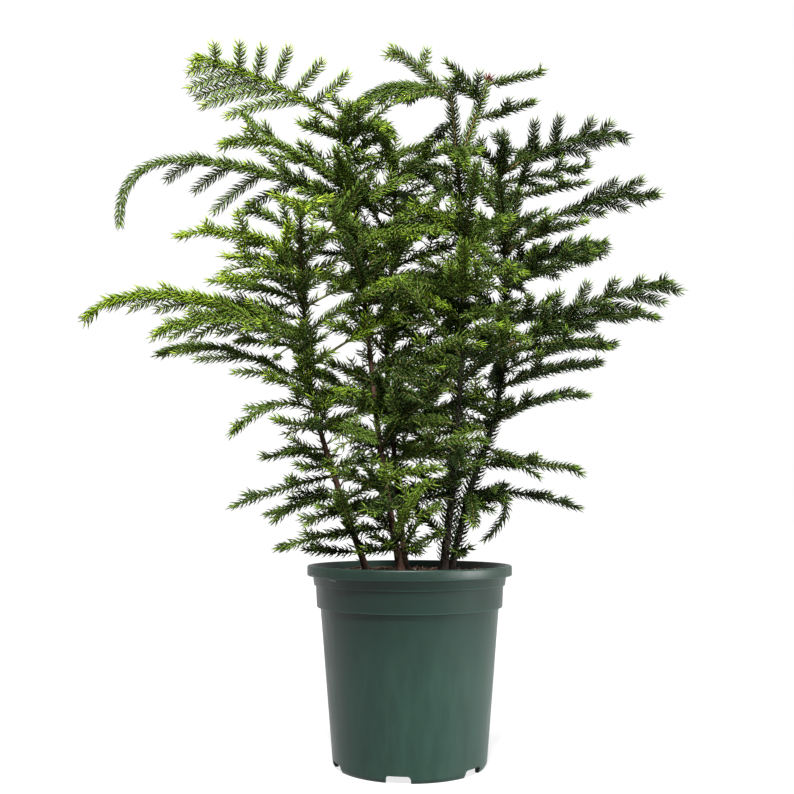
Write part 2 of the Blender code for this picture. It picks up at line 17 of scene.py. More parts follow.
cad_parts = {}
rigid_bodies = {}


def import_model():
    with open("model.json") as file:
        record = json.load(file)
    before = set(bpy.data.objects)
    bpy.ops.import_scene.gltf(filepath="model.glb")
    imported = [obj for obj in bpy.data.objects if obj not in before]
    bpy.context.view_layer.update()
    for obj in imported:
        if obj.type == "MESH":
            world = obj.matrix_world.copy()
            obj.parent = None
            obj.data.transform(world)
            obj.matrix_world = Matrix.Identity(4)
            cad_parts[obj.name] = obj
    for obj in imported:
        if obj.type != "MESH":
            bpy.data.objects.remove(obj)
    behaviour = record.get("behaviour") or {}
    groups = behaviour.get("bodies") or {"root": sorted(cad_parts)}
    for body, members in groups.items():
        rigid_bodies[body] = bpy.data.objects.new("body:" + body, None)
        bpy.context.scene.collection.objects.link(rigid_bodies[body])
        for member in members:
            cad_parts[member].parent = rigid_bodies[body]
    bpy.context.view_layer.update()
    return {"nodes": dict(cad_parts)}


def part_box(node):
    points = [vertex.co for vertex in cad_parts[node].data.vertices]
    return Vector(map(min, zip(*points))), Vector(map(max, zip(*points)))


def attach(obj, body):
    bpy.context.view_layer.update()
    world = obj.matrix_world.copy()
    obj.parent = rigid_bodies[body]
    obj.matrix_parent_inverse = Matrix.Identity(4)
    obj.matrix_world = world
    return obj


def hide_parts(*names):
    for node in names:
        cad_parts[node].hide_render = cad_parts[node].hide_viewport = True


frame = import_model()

NODES = sorted(frame["nodes"])
print("nodes in the frame:", len(NODES))

# %% [markdown]
# A material in Blender is a small graph of nodes. Making one node takes three steps: add it, choose
# its settings, and feed its inputs. The helpers below do all three in one call, so the graphs further
# down read like recipes. An input is fed either with another node's output, which is linked to it,
# or with a plain number or colour, which is set on it.

# %% Helpers for node graphs
MIX_FACTOR, MIX_FIRST, MIX_SECOND = 0, 6, 7
MIX_COLOUR = 2


def fed(tree, made, inputs):
    """Feeds a node's inputs: another node's output is linked, a number or a colour is set."""
    for name, value in inputs.items():
        if isinstance(value, bpy.types.NodeSocket):
            tree.links.new(value, made.inputs[name])
        else:
            made.inputs[name].default_value = value
    return made


def node(tree, kind, inputs=None, **settings):
    """Adds a node, changes its own settings and feeds its inputs."""
    made = tree.nodes.new(kind)
    for name, value in settings.items():
        setattr(made, name, value)
    return fed(tree, made, inputs or {})


def maths(tree, operation, *inputs, **settings):
    """The result of a Math node."""
    made = node(tree, "ShaderNodeMath", dict(enumerate(inputs)), operation=operation, **settings)
    return made.outputs[0]


def ranged(tree, value, low, high, start=0.0, end=1.0, **settings):
    """A value that lies between start and end, moved to between low and high."""
    inputs = {"Value": value, "From Min": start, "From Max": end, "To Min": low, "To Max": high}
    return node(tree, "ShaderNodeMapRange", inputs, **settings).outputs["Result"]


def mixed(tree, factor, first, second):
    """Two colours mixed. A Mix node uses its names twice, so its colour sockets go by number."""
    inputs = {MIX_FACTOR: factor, MIX_FIRST: first, MIX_SECOND: second}
    return node(tree, "ShaderNodeMix", inputs, data_type="RGBA").outputs[MIX_COLOUR]


def material(name):
    """A new material with only a Principled BSDF in it."""
    made = bpy.data.materials.new(name)
    made.use_nodes = True
    return made, made.node_tree, made.node_tree.nodes["Principled BSDF"]


print("sockets of a colour mix:", MIX_FACTOR, MIX_FIRST, MIX_SECOND, "to", MIX_COLOUR)

# %% [markdown]
# Three effects turn up in more than one material, so each is a node group: a patchy mix of two
# colours, a fine grain for bumps, and a band between two heights. A group has named inputs and
# outputs like any other node, and every material places it with its own numbers. The groups put out
# colours, masks and heights only, and the shader stays in the material.

# %% Shared node groups
FLOAT, COLOUR, VECTOR = "NodeSocketFloat", "NodeSocketColor", "NodeSocketVector"
NOISE_MIDDLE = 0.5


def new_group(name, inputs, outputs):
    """A shader group that takes a vector and (name, type, default) inputs, and its two ends."""
    group = bpy.data.node_groups.new(name, "ShaderNodeTree")
    group.interface.new_socket(name="Vector", in_out="INPUT", socket_type=VECTOR)
    for label, kind, default in inputs:
        socket = group.interface.new_socket(name=label, in_out="INPUT", socket_type=kind)
        socket.default_value = default
    for label, kind in outputs:
        group.interface.new_socket(name=label, in_out="OUTPUT", socket_type=kind)
    return group, group.nodes.new("NodeGroupInput").outputs, group.nodes.new("NodeGroupOutput")


def patchy_group():
    """Blends two colours by soft noise, and gives the noise out as a mask for roughness."""
    group, given, result = new_group(
        "patchy_colour",
        [
            ("Scale", FLOAT, 20.0),
            ("Detail", FLOAT, 4.0),
            ("Contrast", FLOAT, 1.0),
            ("First Colour", COLOUR, (0.5, 0.5, 0.5, 1)),
            ("Second Colour", COLOUR, (0.2, 0.2, 0.2, 1)),
        ],
        [("Colour", COLOUR), ("Mask", FLOAT)],
    )
    inputs = {name: given[name] for name in ("Vector", "Scale", "Detail")}
    cloud = node(group, "ShaderNodeTexNoise", inputs).outputs["Fac"]
    centred = maths(group, "SUBTRACT", cloud, NOISE_MIDDLE)
    mask = maths(group, "MULTIPLY_ADD", centred, given["Contrast"], NOISE_MIDDLE, use_clamp=True)
    colour = mixed(group, mask, given["First Colour"], given["Second Colour"])
    fed(group, result, {"Colour": colour, "Mask": mask})
    return group


def grain_group():
    """A height for the Bump node: fine noise with a cell pattern added to it."""
    group, given, result = new_group(
        "grain_height",
        [("Noise Scale", FLOAT, 300.0), ("Cell Scale", FLOAT, 120.0), ("Cell Share", FLOAT, 0.3)],
        [("Height", FLOAT)],
    )
    place = given["Vector"]
    fine = node(
        group, "ShaderNodeTexNoise", {"Vector": place, "Scale": given["Noise Scale"], "Detail": 3.0}
    )
    cells = node(group, "ShaderNodeTexVoronoi", {"Vector": place, "Scale": given["Cell Scale"]})
    weighed = maths(group, "MULTIPLY", cells.outputs["Distance"], given["Cell Share"])
    fed(group, result, {"Height": maths(group, "ADD", fine.outputs["Fac"], weighed)})
    return group


def band_group():
    """A mask that goes from 0 to 1 between two heights of the object."""
    group, given, result = new_group(
        "height_band", [("From", FLOAT, 0.0), ("To", FLOAT, 1.0)], [("Mask", FLOAT)]
    )
    height = node(group, "ShaderNodeSeparateXYZ", {"Vector": given["Vector"]}).outputs["Z"]
    edges = (given["From"], given["To"])
    mask = ranged(group, height, 0.0, 1.0, *edges, interpolation_type="SMOOTHSTEP")
    fed(group, result, {"Mask": mask})
    return group


PATCHY, GRAIN, BAND = patchy_group(), grain_group(), band_group()
print("shared groups:", PATCHY.name, GRAIN.name, BAND.name)

# %% [markdown]
# Each group gets a short helper that places it in a material. Patterns are laid out in object
# coordinates, in metres, and a Mapping node stretches them where a pattern runs one way. The grain
# feeds a Bump node, which shades the skin as if it had relief and leaves the mesh as it is.

# %% Helpers that place the groups
def grouped(tree, group, inputs):
    """Places one of the shared groups in a material and gives its outputs."""
    return node(tree, "ShaderNodeGroup", inputs, node_tree=group).outputs


def object_vector(tree, stretch=None):
    """Object coordinates in metres, stretched where a pattern runs one way."""
    place = node(tree, "ShaderNodeTexCoord").outputs["Object"]
    if stretch is None:
        return place
    return node(tree, "ShaderNodeMapping", {"Vector": place, "Scale": stretch}).outputs["Vector"]


def patchy(tree, vector, scale, detail, contrast, colours=()):
    """The patchy group's outputs. Its colours are left out where only its mask is used."""
    inputs = {"Vector": vector, "Scale": scale, "Detail": detail, "Contrast": contrast}
    inputs.update(zip(("First Colour", "Second Colour"), colours))
    return grouped(tree, PATCHY, inputs)


def band(tree, vector, start, end):
    """The mask of the height band."""
    return grouped(tree, BAND, {"Vector": vector, "From": start, "To": end})["Mask"]


def bump(tree, vector, scales, strength, depth):
    """A normal with the grain on it. Scales are the grain's own, and the depth is in metres."""
    names = ("Noise Scale", "Cell Scale", "Cell Share")
    height = grouped(tree, GRAIN, {"Vector": vector, **dict(zip(names, scales))})["Height"]
    inputs = {"Height": height, "Strength": strength, "Distance": depth}
    return node(tree, "ShaderNodeBump", inputs).outputs["Normal"]


def toned(tree, shader, patches, roughness, others):
    """Feeds a shader the colour and the roughness range of a patchy group, and other inputs."""
    rough = ranged(tree, patches["Mask"], *roughness)
    fed(tree, shader, {"Base Color": patches["Colour"], "Roughness": rough, **others})


print("sockets of the patchy group:", [socket.name for socket in PATCHY.interface.items_tree])

# %% [markdown]
# Every finished mesh becomes a piece in the same way: it rides on the object's one body, takes the
# finish it is given, and stands in for the CAD nodes it was made from, which are hidden.

# %% Turning meshes into pieces
SAME_PLACE = 1e-6
MADE = {}


def placed(name, data):
    """A new object in the scene."""
    made = bpy.data.objects.new(name, data)
    bpy.context.scene.collection.objects.link(made)
    return made


def add_piece(name, mesh, finish, slot, replaced):
    """Makes a mesh a piece of the plant and counts its triangles."""
    mesh.materials.append(finish)
    made = placed(name, mesh)
    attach(made, "root")
    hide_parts(*replaced)
    MADE[name] = sum(len(face.vertices) - 2 for face in mesh.polygons)


def mesh_of(bm, name, sharp=None):
    """The mesh of a bmesh with its faces outwards, smooth but for edges sharper than an angle."""
    bmesh.ops.recalc_face_normals(bm, faces=bm.faces)
    mesh = bpy.data.meshes.new(name)
    bm.to_mesh(mesh)
    bm.free()
    mesh.shade_smooth()
    if sharp is not None:
        mesh.set_sharp_from_angle(angle=sharp)
    return mesh


print("pieces so far:", len(MADE))

# %% [markdown]
# The pot is injection moulded, so it is a turned shape: an outline swept once round the middle. The
# spin operator does that. Sharp corners would look like cut metal, so the rings where the outline
# turns get a small bevel, as the mould's edges have. The steps' sizes are those of the CAD pot.

# %% Turn the pot
POT_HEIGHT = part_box("pot")[1].z
RIM_RADIUS = 0.1175
RIM_WIDTH = 0.0040
RIM_ROUND = 0.0012
LIP_DROP = 0.0115
COLLAR_RADIUS = 0.1110
COLLAR_DROP = 0.0222
BAND_RADIUS = 0.1075
BAND_DROP = 0.0465
SHOULDER_RADIUS = 0.1020
FOOT_RADIUS = 0.0868
STEP_DRAFT = 0.0015
FOOT_CHAMFER = (0.0023, 0.0040)
WALL = 0.0020
FLOOR = 0.0025
CHANNEL_HEIGHT = 0.0090
CHANNEL_INNER = 0.0600
CHANNEL_OUTER = 0.0805
CHANNEL_SLOPE = 0.003
POT_SEGMENTS = 180
MOULD_ROUND = 0.0006
SHARP = math.radians(35)


def bevelled(bm, edges, offset, segments):
    """Rounds some edges of a bmesh."""
    bmesh.ops.bevel(
        bm,
        geom=edges,
        offset=offset,
        segments=segments,
        profile=0.5,
        affect="EDGES",
        material=-1,
        clamp_overlap=True,
    )


def turned(profile, segments, rounding=0.0):
    """Spins an outline of (radius, height) points into a closed solid and rounds its corners."""
    bm = bmesh.new()
    points = [bm.verts.new((radius, 0, height)) for radius, height in profile]
    edges = [bm.edges.new(pair) for pair in zip(points, points[1:])]
    sweep = {"cent": (0, 0, 0), "axis": (0, 0, 1), "angle": math.tau}
    bmesh.ops.spin(bm, geom=points + edges, steps=segments, use_merge=True, **sweep)
    bmesh.ops.remove_doubles(bm, verts=bm.verts, dist=SAME_PLACE)
    bmesh.ops.recalc_face_normals(bm, faces=bm.faces)
    if rounding:
        rings = [
            edge
            for edge in bm.edges
            if abs(edge.verts[0].co.z - edge.verts[1].co.z) < SAME_PLACE
            and abs(edge.verts[0].co.xy.length - edge.verts[1].co.xy.length) < SAME_PLACE
        ]
        bevelled(bm, rings, rounding, 2)
    return bm


def pot_inside():
    """The inside of the pot below its rim, from the lip down to the middle of the floor."""
    channel_top = CHANNEL_HEIGHT + FLOOR
    return [
        (COLLAR_RADIUS - STEP_DRAFT - WALL, POT_HEIGHT - LIP_DROP),
        (BAND_RADIUS - STEP_DRAFT - WALL, POT_HEIGHT - COLLAR_DROP),
        (SHOULDER_RADIUS - WALL, POT_HEIGHT - BAND_DROP),
        (FOOT_RADIUS - WALL, channel_top),
        (CHANNEL_INNER - WALL / 2, channel_top),
        (CHANNEL_INNER - CHANNEL_SLOPE - WALL / 2, FLOOR),
        (0, FLOOR),
    ]


def pot_outline():
    """From the middle of the underside, up the outside, over the rim and down the inside."""
    lip = POT_HEIGHT - LIP_DROP
    collar = POT_HEIGHT - COLLAR_DROP
    band = POT_HEIGHT - BAND_DROP
    return [
        (0, 0),
        (CHANNEL_INNER - CHANNEL_SLOPE, 0),
        (CHANNEL_INNER, CHANNEL_HEIGHT),
        (CHANNEL_OUTER, CHANNEL_HEIGHT),
        (CHANNEL_OUTER, 0),
        (FOOT_RADIUS - FOOT_CHAMFER[0], 0),
        (FOOT_RADIUS, FOOT_CHAMFER[1]),
        (SHOULDER_RADIUS, band),
        (BAND_RADIUS - STEP_DRAFT, band),
        (BAND_RADIUS, collar),
        (COLLAR_RADIUS - STEP_DRAFT, collar),
        (COLLAR_RADIUS, lip),
        (RIM_RADIUS - RIM_ROUND, lip),
        (RIM_RADIUS, lip + RIM_ROUND / 2),
        (RIM_RADIUS, POT_HEIGHT - RIM_ROUND),
        (RIM_RADIUS - RIM_ROUND, POT_HEIGHT),
        (RIM_RADIUS - RIM_WIDTH, POT_HEIGHT),
        *pot_inside(),
    ]


pot_shape = turned(pot_outline(), POT_SEGMENTS, MOULD_ROUND)
print("pot outline spun:", len(pot_shape.faces), "faces, height", round(POT_HEIGHT, 4))

# %% [markdown]
# Water leaves the pot through six notches in its foot ring. Each is cut with a round-cornered block
# by a Boolean modifier, the same tool that drills holes in CAD. The modifier is applied at once, so
# the finished piece is a plain mesh.

# %% Cut the drain notches
NOTCHES = 6
NOTCH_WIDTH = 0.027
NOTCH_HEIGHT = 0.0078
NOTCH_DEPTH = 0.030
NOTCH_CORNER = 0.004
FIRST_NOTCH = math.radians(-99)


def notch_block(index):
    bm = bmesh.new()
    size = (NOTCH_DEPTH, NOTCH_WIDTH, 2 * NOTCH_HEIGHT)
    bmesh.ops.create_cube(bm, size=1, matrix=Matrix.Diagonal((*size, 1)))
    upper = [
        edge
        for edge in bm.edges
        if all(vert.co.z > 0 for vert in edge.verts)
        and abs(edge.verts[0].co.y - edge.verts[1].co.y) < SAME_PLACE
    ]
    bevelled(bm, upper, NOTCH_CORNER, 5)
    turn = Matrix.Rotation(FIRST_NOTCH + index * math.tau / NOTCHES, 4, "Z")
    out = Matrix.Translation(((CHANNEL_OUTER + FOOT_RADIUS) / 2, 0, 0))
    bmesh.ops.transform(bm, matrix=turn @ out, verts=bm.verts)
    return bpy.data.objects.new(f"notch_block_{index}", mesh_of(bm, f"notch_block_{index}"))


def notched(mesh):
    """The pot's mesh with every notch cut out of it."""
    body = placed("pot_to_cut", mesh)
    blocks = bpy.data.collections.new("notch_blocks")
    for index in range(NOTCHES):
        blocks.objects.link(notch_block(index))
    cut = body.modifiers.new("drain_notches", "BOOLEAN")
    cut.operation = "DIFFERENCE"
    cut.operand_type = "COLLECTION"
    cut.collection = blocks
    graph = bpy.context.evaluated_depsgraph_get()
    graph.update()
    made = bpy.data.meshes.new_from_object(body.evaluated_get(graph))
    bpy.data.objects.remove(body)
    for block in list(blocks.objects):
        bpy.data.objects.remove(block)
    bpy.data.collections.remove(blocks)
    made.shade_smooth()
    made.set_sharp_from_angle(angle=SHARP)
    return made


pot_mesh = notched(mesh_of(pot_shape, "pot_mould"))
print("pot with notches:", len(pot_mesh.polygons), "faces")

# %% [markdown]
# The plastic is dark green polypropylene with a satin skin. Up close it is never one colour: the
# melt leaves soft upright streaks, a little dust lies near the rim and the foot, and one scratch runs
# over the lip. Noise stretched along Z makes the streaks. Painted light is laid on as well: the top is
# darker with painted shade of the crown above it, thin dark lines under the ledges are painted shade,
# and thin pale lines on their edges are painted highlights. Every other trace is a mask and a colour,
# laid over the last one: the painted shade of the top, the dust, the scratch, and the painted lines at
# the ledges.

# %% Pot plastic
PLASTIC = (0.0080, 0.025, 0.018, 1)
PLASTIC_PALE = (0.0145, 0.039, 0.029, 1)
# Painted shade: the pot's upper part is darkened towards this green, for the crown's shadow.
PLASTIC_PAINTED_SHADE = (0.0046, 0.0155, 0.0108, 1)
PAINTED_SHADE_FROM, PAINTED_SHADE_TO = 0.09, 0.20
DUST = (0.165, 0.215, 0.180, 1)
DUST_SHARE = 0.03
DUSTY_FOOT, DUSTY_TOP = 0.030, 0.014
SCUFF = (0.30, 0.42, 0.36, 1)
SCUFF_START, SCUFF_END = math.radians(-158), math.radians(-136)
SCUFF_HEIGHT = 0.2105
SCUFF_FALL = 0.0045
SCUFF_WIDTH = 0.0006
SCUFF_MIDDLE, SCUFF_HALF = 0.5, 0.49
# Painted shade: a thin dark line just under each ledge.
PAINTED_LEDGE_SHADE = (0.002, 0.005, 0.004, 1)
# Painted highlight: a thin pale line on the edge of each ledge.
PAINTED_EDGE_HIGHLIGHT = (0.015, 0.042, 0.032, 1)
RING_HALF = 0.0006
STREAKS = (36, 36, 7.0)
POT_ROUGHNESS = (0.36, 0.50)
POT_GRAIN = (520.0, 90.0, 0.25)


def rings(tree, height, shift):
    """A mask of thin level rings, each shifted a little from one of the pot's ledges."""
    lip, collar, shoulder = (
        maths(tree, "COMPARE", height, POT_HEIGHT - drop + shift, RING_HALF)
        for drop in (LIP_DROP, COLLAR_DROP, BAND_DROP)
    )
    return maths(tree, "MAXIMUM", maths(tree, "MAXIMUM", lip, collar), shoulder)


def rim_scuff(tree, split, flecks):
    """A mask for one thin scratch that runs slantwise over the lip at the front left."""
    turn = maths(tree, "ARCTAN2", split["Y"], split["X"])
    share = ranged(tree, turn, 0.0, 1.0, SCUFF_START, SCUFF_END)
    line = maths(tree, "MULTIPLY_ADD", share, -SCUFF_FALL, SCUFF_HEIGHT)
    near = maths(tree, "COMPARE", maths(tree, "SUBTRACT", split["Z"], line), 0.0, SCUFF_WIDTH)
    inside = maths(tree, "COMPARE", share, SCUFF_MIDDLE, SCUFF_HALF)
    return maths(tree, "MULTIPLY", maths(tree, "MULTIPLY", near, inside), flecks)


def dusty_ends(tree, place, flecks):
    """A mask for thin flecked dust at the pot's foot and rim."""
    foot = band(tree, place, DUSTY_FOOT, 0.0)
    top = band(tree, place, POT_HEIGHT - DUSTY_TOP, POT_HEIGHT)
    flecked = maths(tree, "MULTIPLY", maths(tree, "MAXIMUM", foot, top), flecks)
    return maths(tree, "MULTIPLY", flecked, DUST_SHARE)


def pot_plastic():
    made, tree, shader = material("green_pot_plastic")
    place = object_vector(tree)
    split = node(tree, "ShaderNodeSeparateXYZ", {"Vector": place}).outputs
    streaked = object_vector(tree, STREAKS)
    greens = (PLASTIC, PLASTIC_PALE)
    streaks = patchy(tree, streaked, scale=3.0, detail=9.0, contrast=1.9, colours=greens)
    flecks = patchy(tree, place, scale=95.0, detail=6.0, contrast=3.2)["Mask"]
    traces = (
        # painted shade of the crown on the upper part
        (band(tree, place, PAINTED_SHADE_FROM, PAINTED_SHADE_TO), PLASTIC_PAINTED_SHADE),
        (dusty_ends(tree, place, flecks), DUST),
        (rim_scuff(tree, split, flecks), SCUFF),
        # painted shade under the ledges
        (rings(tree, split["Z"], -RING_HALF), PAINTED_LEDGE_SHADE),
        # painted highlights on the ledges' edges
        (rings(tree, split["Z"], RING_HALF), PAINTED_EDGE_HIGHLIGHT),
    )
    colour = streaks["Colour"]
    for mask, trace in traces:
        colour = mixed(tree, mask, colour, trace)
    grain = bump(tree, place, POT_GRAIN, strength=0.22, depth=0.0004)
    others = {"Base Color": colour, "Normal": grain, "IOR": 1.49, "Specular IOR Level": 0.22}
    toned(tree, shader, streaks, POT_ROUGHNESS, others)
    return made


add_piece("pot_moulded", pot_mesh, pot_plastic(), "pot", ["pot"])
print("pot piece:", MADE["pot_moulded"], "triangles")

# %% [markdown]
# Potting mix is peat and composted bark with grains of white perlite. From the side only a thin
# strip of it shows behind the rim, so its lumps have to be real relief and not bump alone. A turned
# solid with close rings fills the pot, and noise lifts its top. Bark chips and perlite lie on it.

# %% Fill the pot with soil
SOIL_TOP = 0.211
SOIL_SHOULDER = 0.098
SOIL_RINGS = 40
SOIL_SEGMENTS = 150
SOIL_LUMP = 0.0030
SOIL_CRUMB = 0.0011
LUMPS_PER_METRE, CRUMBS_PER_METRE = 55, 260
CRUMB_LEVEL = 5
SOIL_DIP = 0.5
GAP = 0.0003
EARTH_GRAIN = (900.0, 420.0, 0.6)
EARTH_DETAIL = 6.0
EARTH_SHEEN = 0.1
PEAT = ((0.070, 0.032, 0.018, 1), (0.016, 0.008, 0.005, 1))


def soil_height(x, y):
    """The height of the soil's surface: broad lumps with crumbs on them, dipping at the wall."""
    lumps = noise.noise(Vector((x, y, 0)) * LUMPS_PER_METRE) * SOIL_LUMP
    crumbs = noise.noise(Vector((x, y, CRUMB_LEVEL)) * CRUMBS_PER_METRE) * SOIL_CRUMB
    dip = max(0.0, math.hypot(x, y) - SOIL_SHOULDER) * SOIL_DIP
    return SOIL_TOP + lumps + crumbs - dip


def soil_mesh():
    lip, *walls, foot, corner, well, middle = pot_inside()
    profile = [(lip[0] * i / SOIL_RINGS, SOIL_TOP) for i in range(SOIL_RINGS)]
    profile += [(lip[0] - GAP, SOIL_TOP - SOIL_LUMP)]
    profile += [(radius - GAP, height) for radius, height in walls]
    profile += [(radius - GAP, height + GAP) for radius, height in (foot, corner, well)]
    profile += [(0, middle[1] + GAP)]
    bm = turned(profile, SOIL_SEGMENTS)
    for vert in bm.verts:
        if vert.co.z > SOIL_TOP - SAME_PLACE:
            vert.co.z = soil_height(vert.co.x, vert.co.y)
    return mesh_of(bm, "soil_fill")


def earth(name, colours, scale, contrast, rough):
    """A crumbly finish in two colours, for the soil, its bark chips and its perlite."""
    made, tree, shader = material(name)
    place = object_vector(tree)
    crumbs = patchy(tree, place, scale, EARTH_DETAIL, contrast, colours)
    relief = bump(tree, place, EARTH_GRAIN, strength=0.7, depth=0.0008)
    toned(tree, shader, crumbs, (rough - EARTH_SHEEN, rough), {"Normal": relief})
    return made


peat_finish = earth("peat", PEAT, scale=240.0, contrast=2.2, rough=0.98)
add_piece("soil_fill", soil_mesh(), peat_finish, "soil", ["potting_soil"])
print("soil piece:", MADE["soil_fill"], "triangles")

# %% [markdown]
# Thousands of small things are made from one small shape. The shape's corners are kept as an array,
# and copies are placed by arithmetic on the whole array at once, which is far quicker than adding
# objects. The same two helpers make chips, perlite, twigs and every needle below.

# %% Shapes as arrays
class Form(NamedTuple):
    """The corner points and the triangles of a small shape."""

    points: np.ndarray
    faces: np.ndarray


def form_of(bm):
    bmesh.ops.recalc_face_normals(bm, faces=bm.faces)
    bmesh.ops.triangulate(bm, faces=bm.faces)
    bm.verts.index_update()
    points = np.array([vert.co for vert in bm.verts])
    faces = np.array([[vert.index for vert in face.verts] for face in bm.faces])
    bm.free()
    return Form(points, faces)


def joined_mesh(name, form, clouds):
    """One mesh from many copies of a form, each copy given by its own array of corner points."""
    clouds = np.asarray(clouds)
    step = len(form.points)
    faces = form.faces[None] + step * np.arange(len(clouds))[:, None, None]
    mesh = bpy.data.meshes.new(name)
    mesh.from_pydata(clouds.reshape(-1, 3), [], faces.reshape(-1, 3))
    mesh.shade_smooth()
    return mesh


def unit(vectors):
    return vectors / np.linalg.norm(vectors, axis=-1, keepdims=True)


print("the vector (3, 4) made unit:", unit(np.array((3.0, 4.0))))

# %% [markdown]
# A bark chip is a flat splinter and a grain of perlite is a rough little ball. Both start from a
# bmesh primitive, and each copy is turned, stretched and half sunk in the soil by seeded chance.

# %% Scatter chips and perlite
CHIPS = 1500
PERLITE = 420
CHIP_SIZE = (0.0050, 0.0024, 0.0012)
PERLITE_SIZE = 0.0011
CHIP_SINK, PERLITE_SINK = 0.35, 0.5
CHIP_BROWN = ((0.125, 0.058, 0.030, 1), (0.030, 0.014, 0.008, 1))
PERLITE_PALE = ((0.72, 0.68, 0.62, 1), (0.42, 0.36, 0.30, 1))
SCATTER_RADIUS = 0.104
SCATTER_GROWTH = (0.5, 1.35)
SCATTER_TILT, SCATTER_TIP = 0.7, 0.6
CHIP_SKEW, CHIP_WEDGE = 0.35, 0.5
CHIP_EDGE = 0.12
CRUMB_BUMP, CRUMB_NOISE = 0.3, 1.7


def splinter():
    bm = bmesh.new()
    bmesh.ops.create_cube(bm, size=1)
    for vert in bm.verts:
        vert.co.x *= 1 + CHIP_SKEW * vert.co.y
        vert.co.z *= 1 - CHIP_WEDGE * vert.co.x
    bevelled(bm, bm.edges[:], CHIP_EDGE, 1)
    return form_of(bm)


def crumb():
    bm = bmesh.new()
    bmesh.ops.create_icosphere(bm, subdivisions=1, radius=1)
    for vert in bm.verts:
        vert.co *= 1 + CRUMB_BUMP * noise.noise(vert.co * CRUMB_NOISE)
    return form_of(bm)


def scattered(form, count, sizes, seed, sink):
    """Copies of a form lying on the soil, spread evenly over its disc."""
    chance = random.Random(seed)
    clouds = []
    for _ in range(count):
        away = SCATTER_RADIUS * math.sqrt(chance.random())
        bearing = math.tau * chance.random()
        x, y = away * math.cos(bearing), away * math.sin(bearing)
        grown = chance.uniform(*SCATTER_GROWTH)
        turn = Matrix.Rotation(math.tau * chance.random(), 3, "Z")
        turn @= Matrix.Rotation(chance.uniform(-SCATTER_TILT, SCATTER_TILT), 3, "X")
        turn @= Matrix.Rotation(chance.uniform(-SCATTER_TIP, SCATTER_TIP), 3, "Y")
        shape = np.array(turn) @ np.diag([size * grown for size in sizes])
        height = soil_height(x, y) + sizes[2] * grown * sink
        clouds.append(form.points @ shape.T + (x, y, height))
    return clouds


chip_finish = earth("bark_chip", CHIP_BROWN, scale=160.0, contrast=2.6, rough=0.95)
grain_finish = earth("perlite", PERLITE_PALE, scale=300.0, contrast=1.5, rough=0.92)
SOIL_PARTS = (
    ("bark_chips", splinter(), CHIPS, CHIP_SIZE, CHIP_SINK, chip_finish),
    ("perlite_grains", crumb(), PERLITE, (PERLITE_SIZE,) * 3, PERLITE_SINK, grain_finish),
)
for name, form, count, sizes, sink, finish in SOIL_PARTS:
    clouds = scattered(form, count, sizes, name, sink)
    add_piece(name, joined_mesh(name, form, clouds), finish, "soil", ["potting_soil"])
    print(name, count, "copies,", MADE[name], "triangles")

# %% [markdown]
# The stems are the five leaders of the clump. Each follows the same smooth curve as in the CAD
# source: a few points, a radius at the foot and at the tip, and a flare at the soil. A curve through
# few points is easy to steer, and a real stem bends no more sharply than that.

# %% Stems
class Stem(NamedTuple):
    """A stem's line through a few points, with its radius above the flare and at its tip."""

    name: str
    line: tuple
    foot: float
    tip: float


SOIL_LINE = SOIL_TOP + GAP
STEMS = (
    Stem("stem_left", ((-0.048, -0.010, SOIL_LINE), (-0.076, -0.018, 0.290), (-0.111, -0.030, 0.409),
                       (-0.124, -0.042, 0.546), (-0.127, -0.049, 0.632)), 0.0042, 0.0016),
    Stem("stem_front", ((-0.010, -0.012, SOIL_LINE), (-0.032, -0.010, 0.340), (-0.048, -0.005, 0.481),
                        (-0.064, 0.000, 0.637), (-0.082, 0.000, 0.762)), 0.0046, 0.0015),
    Stem("stem_back", ((-0.004, 0.014, SOIL_LINE), (-0.017, 0.026, 0.342), (-0.027, 0.042, 0.475),
                       (-0.018, 0.056, 0.640), (-0.018, 0.064, 0.735)), 0.0042, 0.0015),
    Stem("stem_right", ((0.039, 0.000, SOIL_LINE), (0.053, -0.002, 0.338), (0.063, -0.008, 0.500),
                        (0.062, -0.012, 0.640), (0.051, -0.016, 0.786)), 0.0052, 0.0017),
    Stem("stem_far_right", ((0.048, 0.015, SOIL_LINE), (0.072, 0.020, 0.304), (0.107, 0.030, 0.409),
                            (0.120, 0.038, 0.554), (0.115, 0.046, 0.712)), 0.0046, 0.0016),
)
STEM_NAMED = {stem.name: stem for stem in STEMS}
STEM_TAPER = 0.8
FLARE_HEIGHT = 0.018
FLARE = 0.45


def curve_point(line, height):
    """The point at a height on a smooth curve through a stem's points."""
    spans = list(zip(line, line[1:]))
    index = next((i for i, (_, top) in enumerate(spans) if height <= top[2]), len(spans) - 1)
    low, high = Vector(line[index]), Vector(line[index + 1])
    share = (height - low.z) / (high.z - low.z)
    before = Vector(line[index - 1]) if index else 2 * low - high
    after = Vector(line[index + 2]) if index + 2 < len(line) else 2 * high - low
    leaving = (high - before) / (high.z - before.z) * (high.z - low.z)
    arriving = (after - low) / (after.z - low.z) * (high.z - low.z)
    eased = share * share * (3 - 2 * share)
    point = low.lerp(high, eased)
    point += leaving * share * (1 - share) ** 2 + arriving * share * share * (share - 1)
    return Vector((point.x, point.y, height))


def stem_radius(stem, height):
    bottom, top = stem.line[0][2], stem.line[-1][2]
    share = (height - bottom) / (top - bottom)
    flare = FLARE * max(0.0, 1 - (height - bottom) / FLARE_HEIGHT) ** 2
    return (stem.foot + (stem.tip - stem.foot) * share**STEM_TAPER) * (1 + flare)


def stem_line(stem, count):
    """Points up a stem at even heights, and those heights."""
    bottom, top = stem.line[0][2], stem.line[-1][2]
    heights = [bottom + (top - bottom) * (i / count) for i in range(count + 1)]
    return heights, np.array([curve_point(stem.line, height) for height in heights])


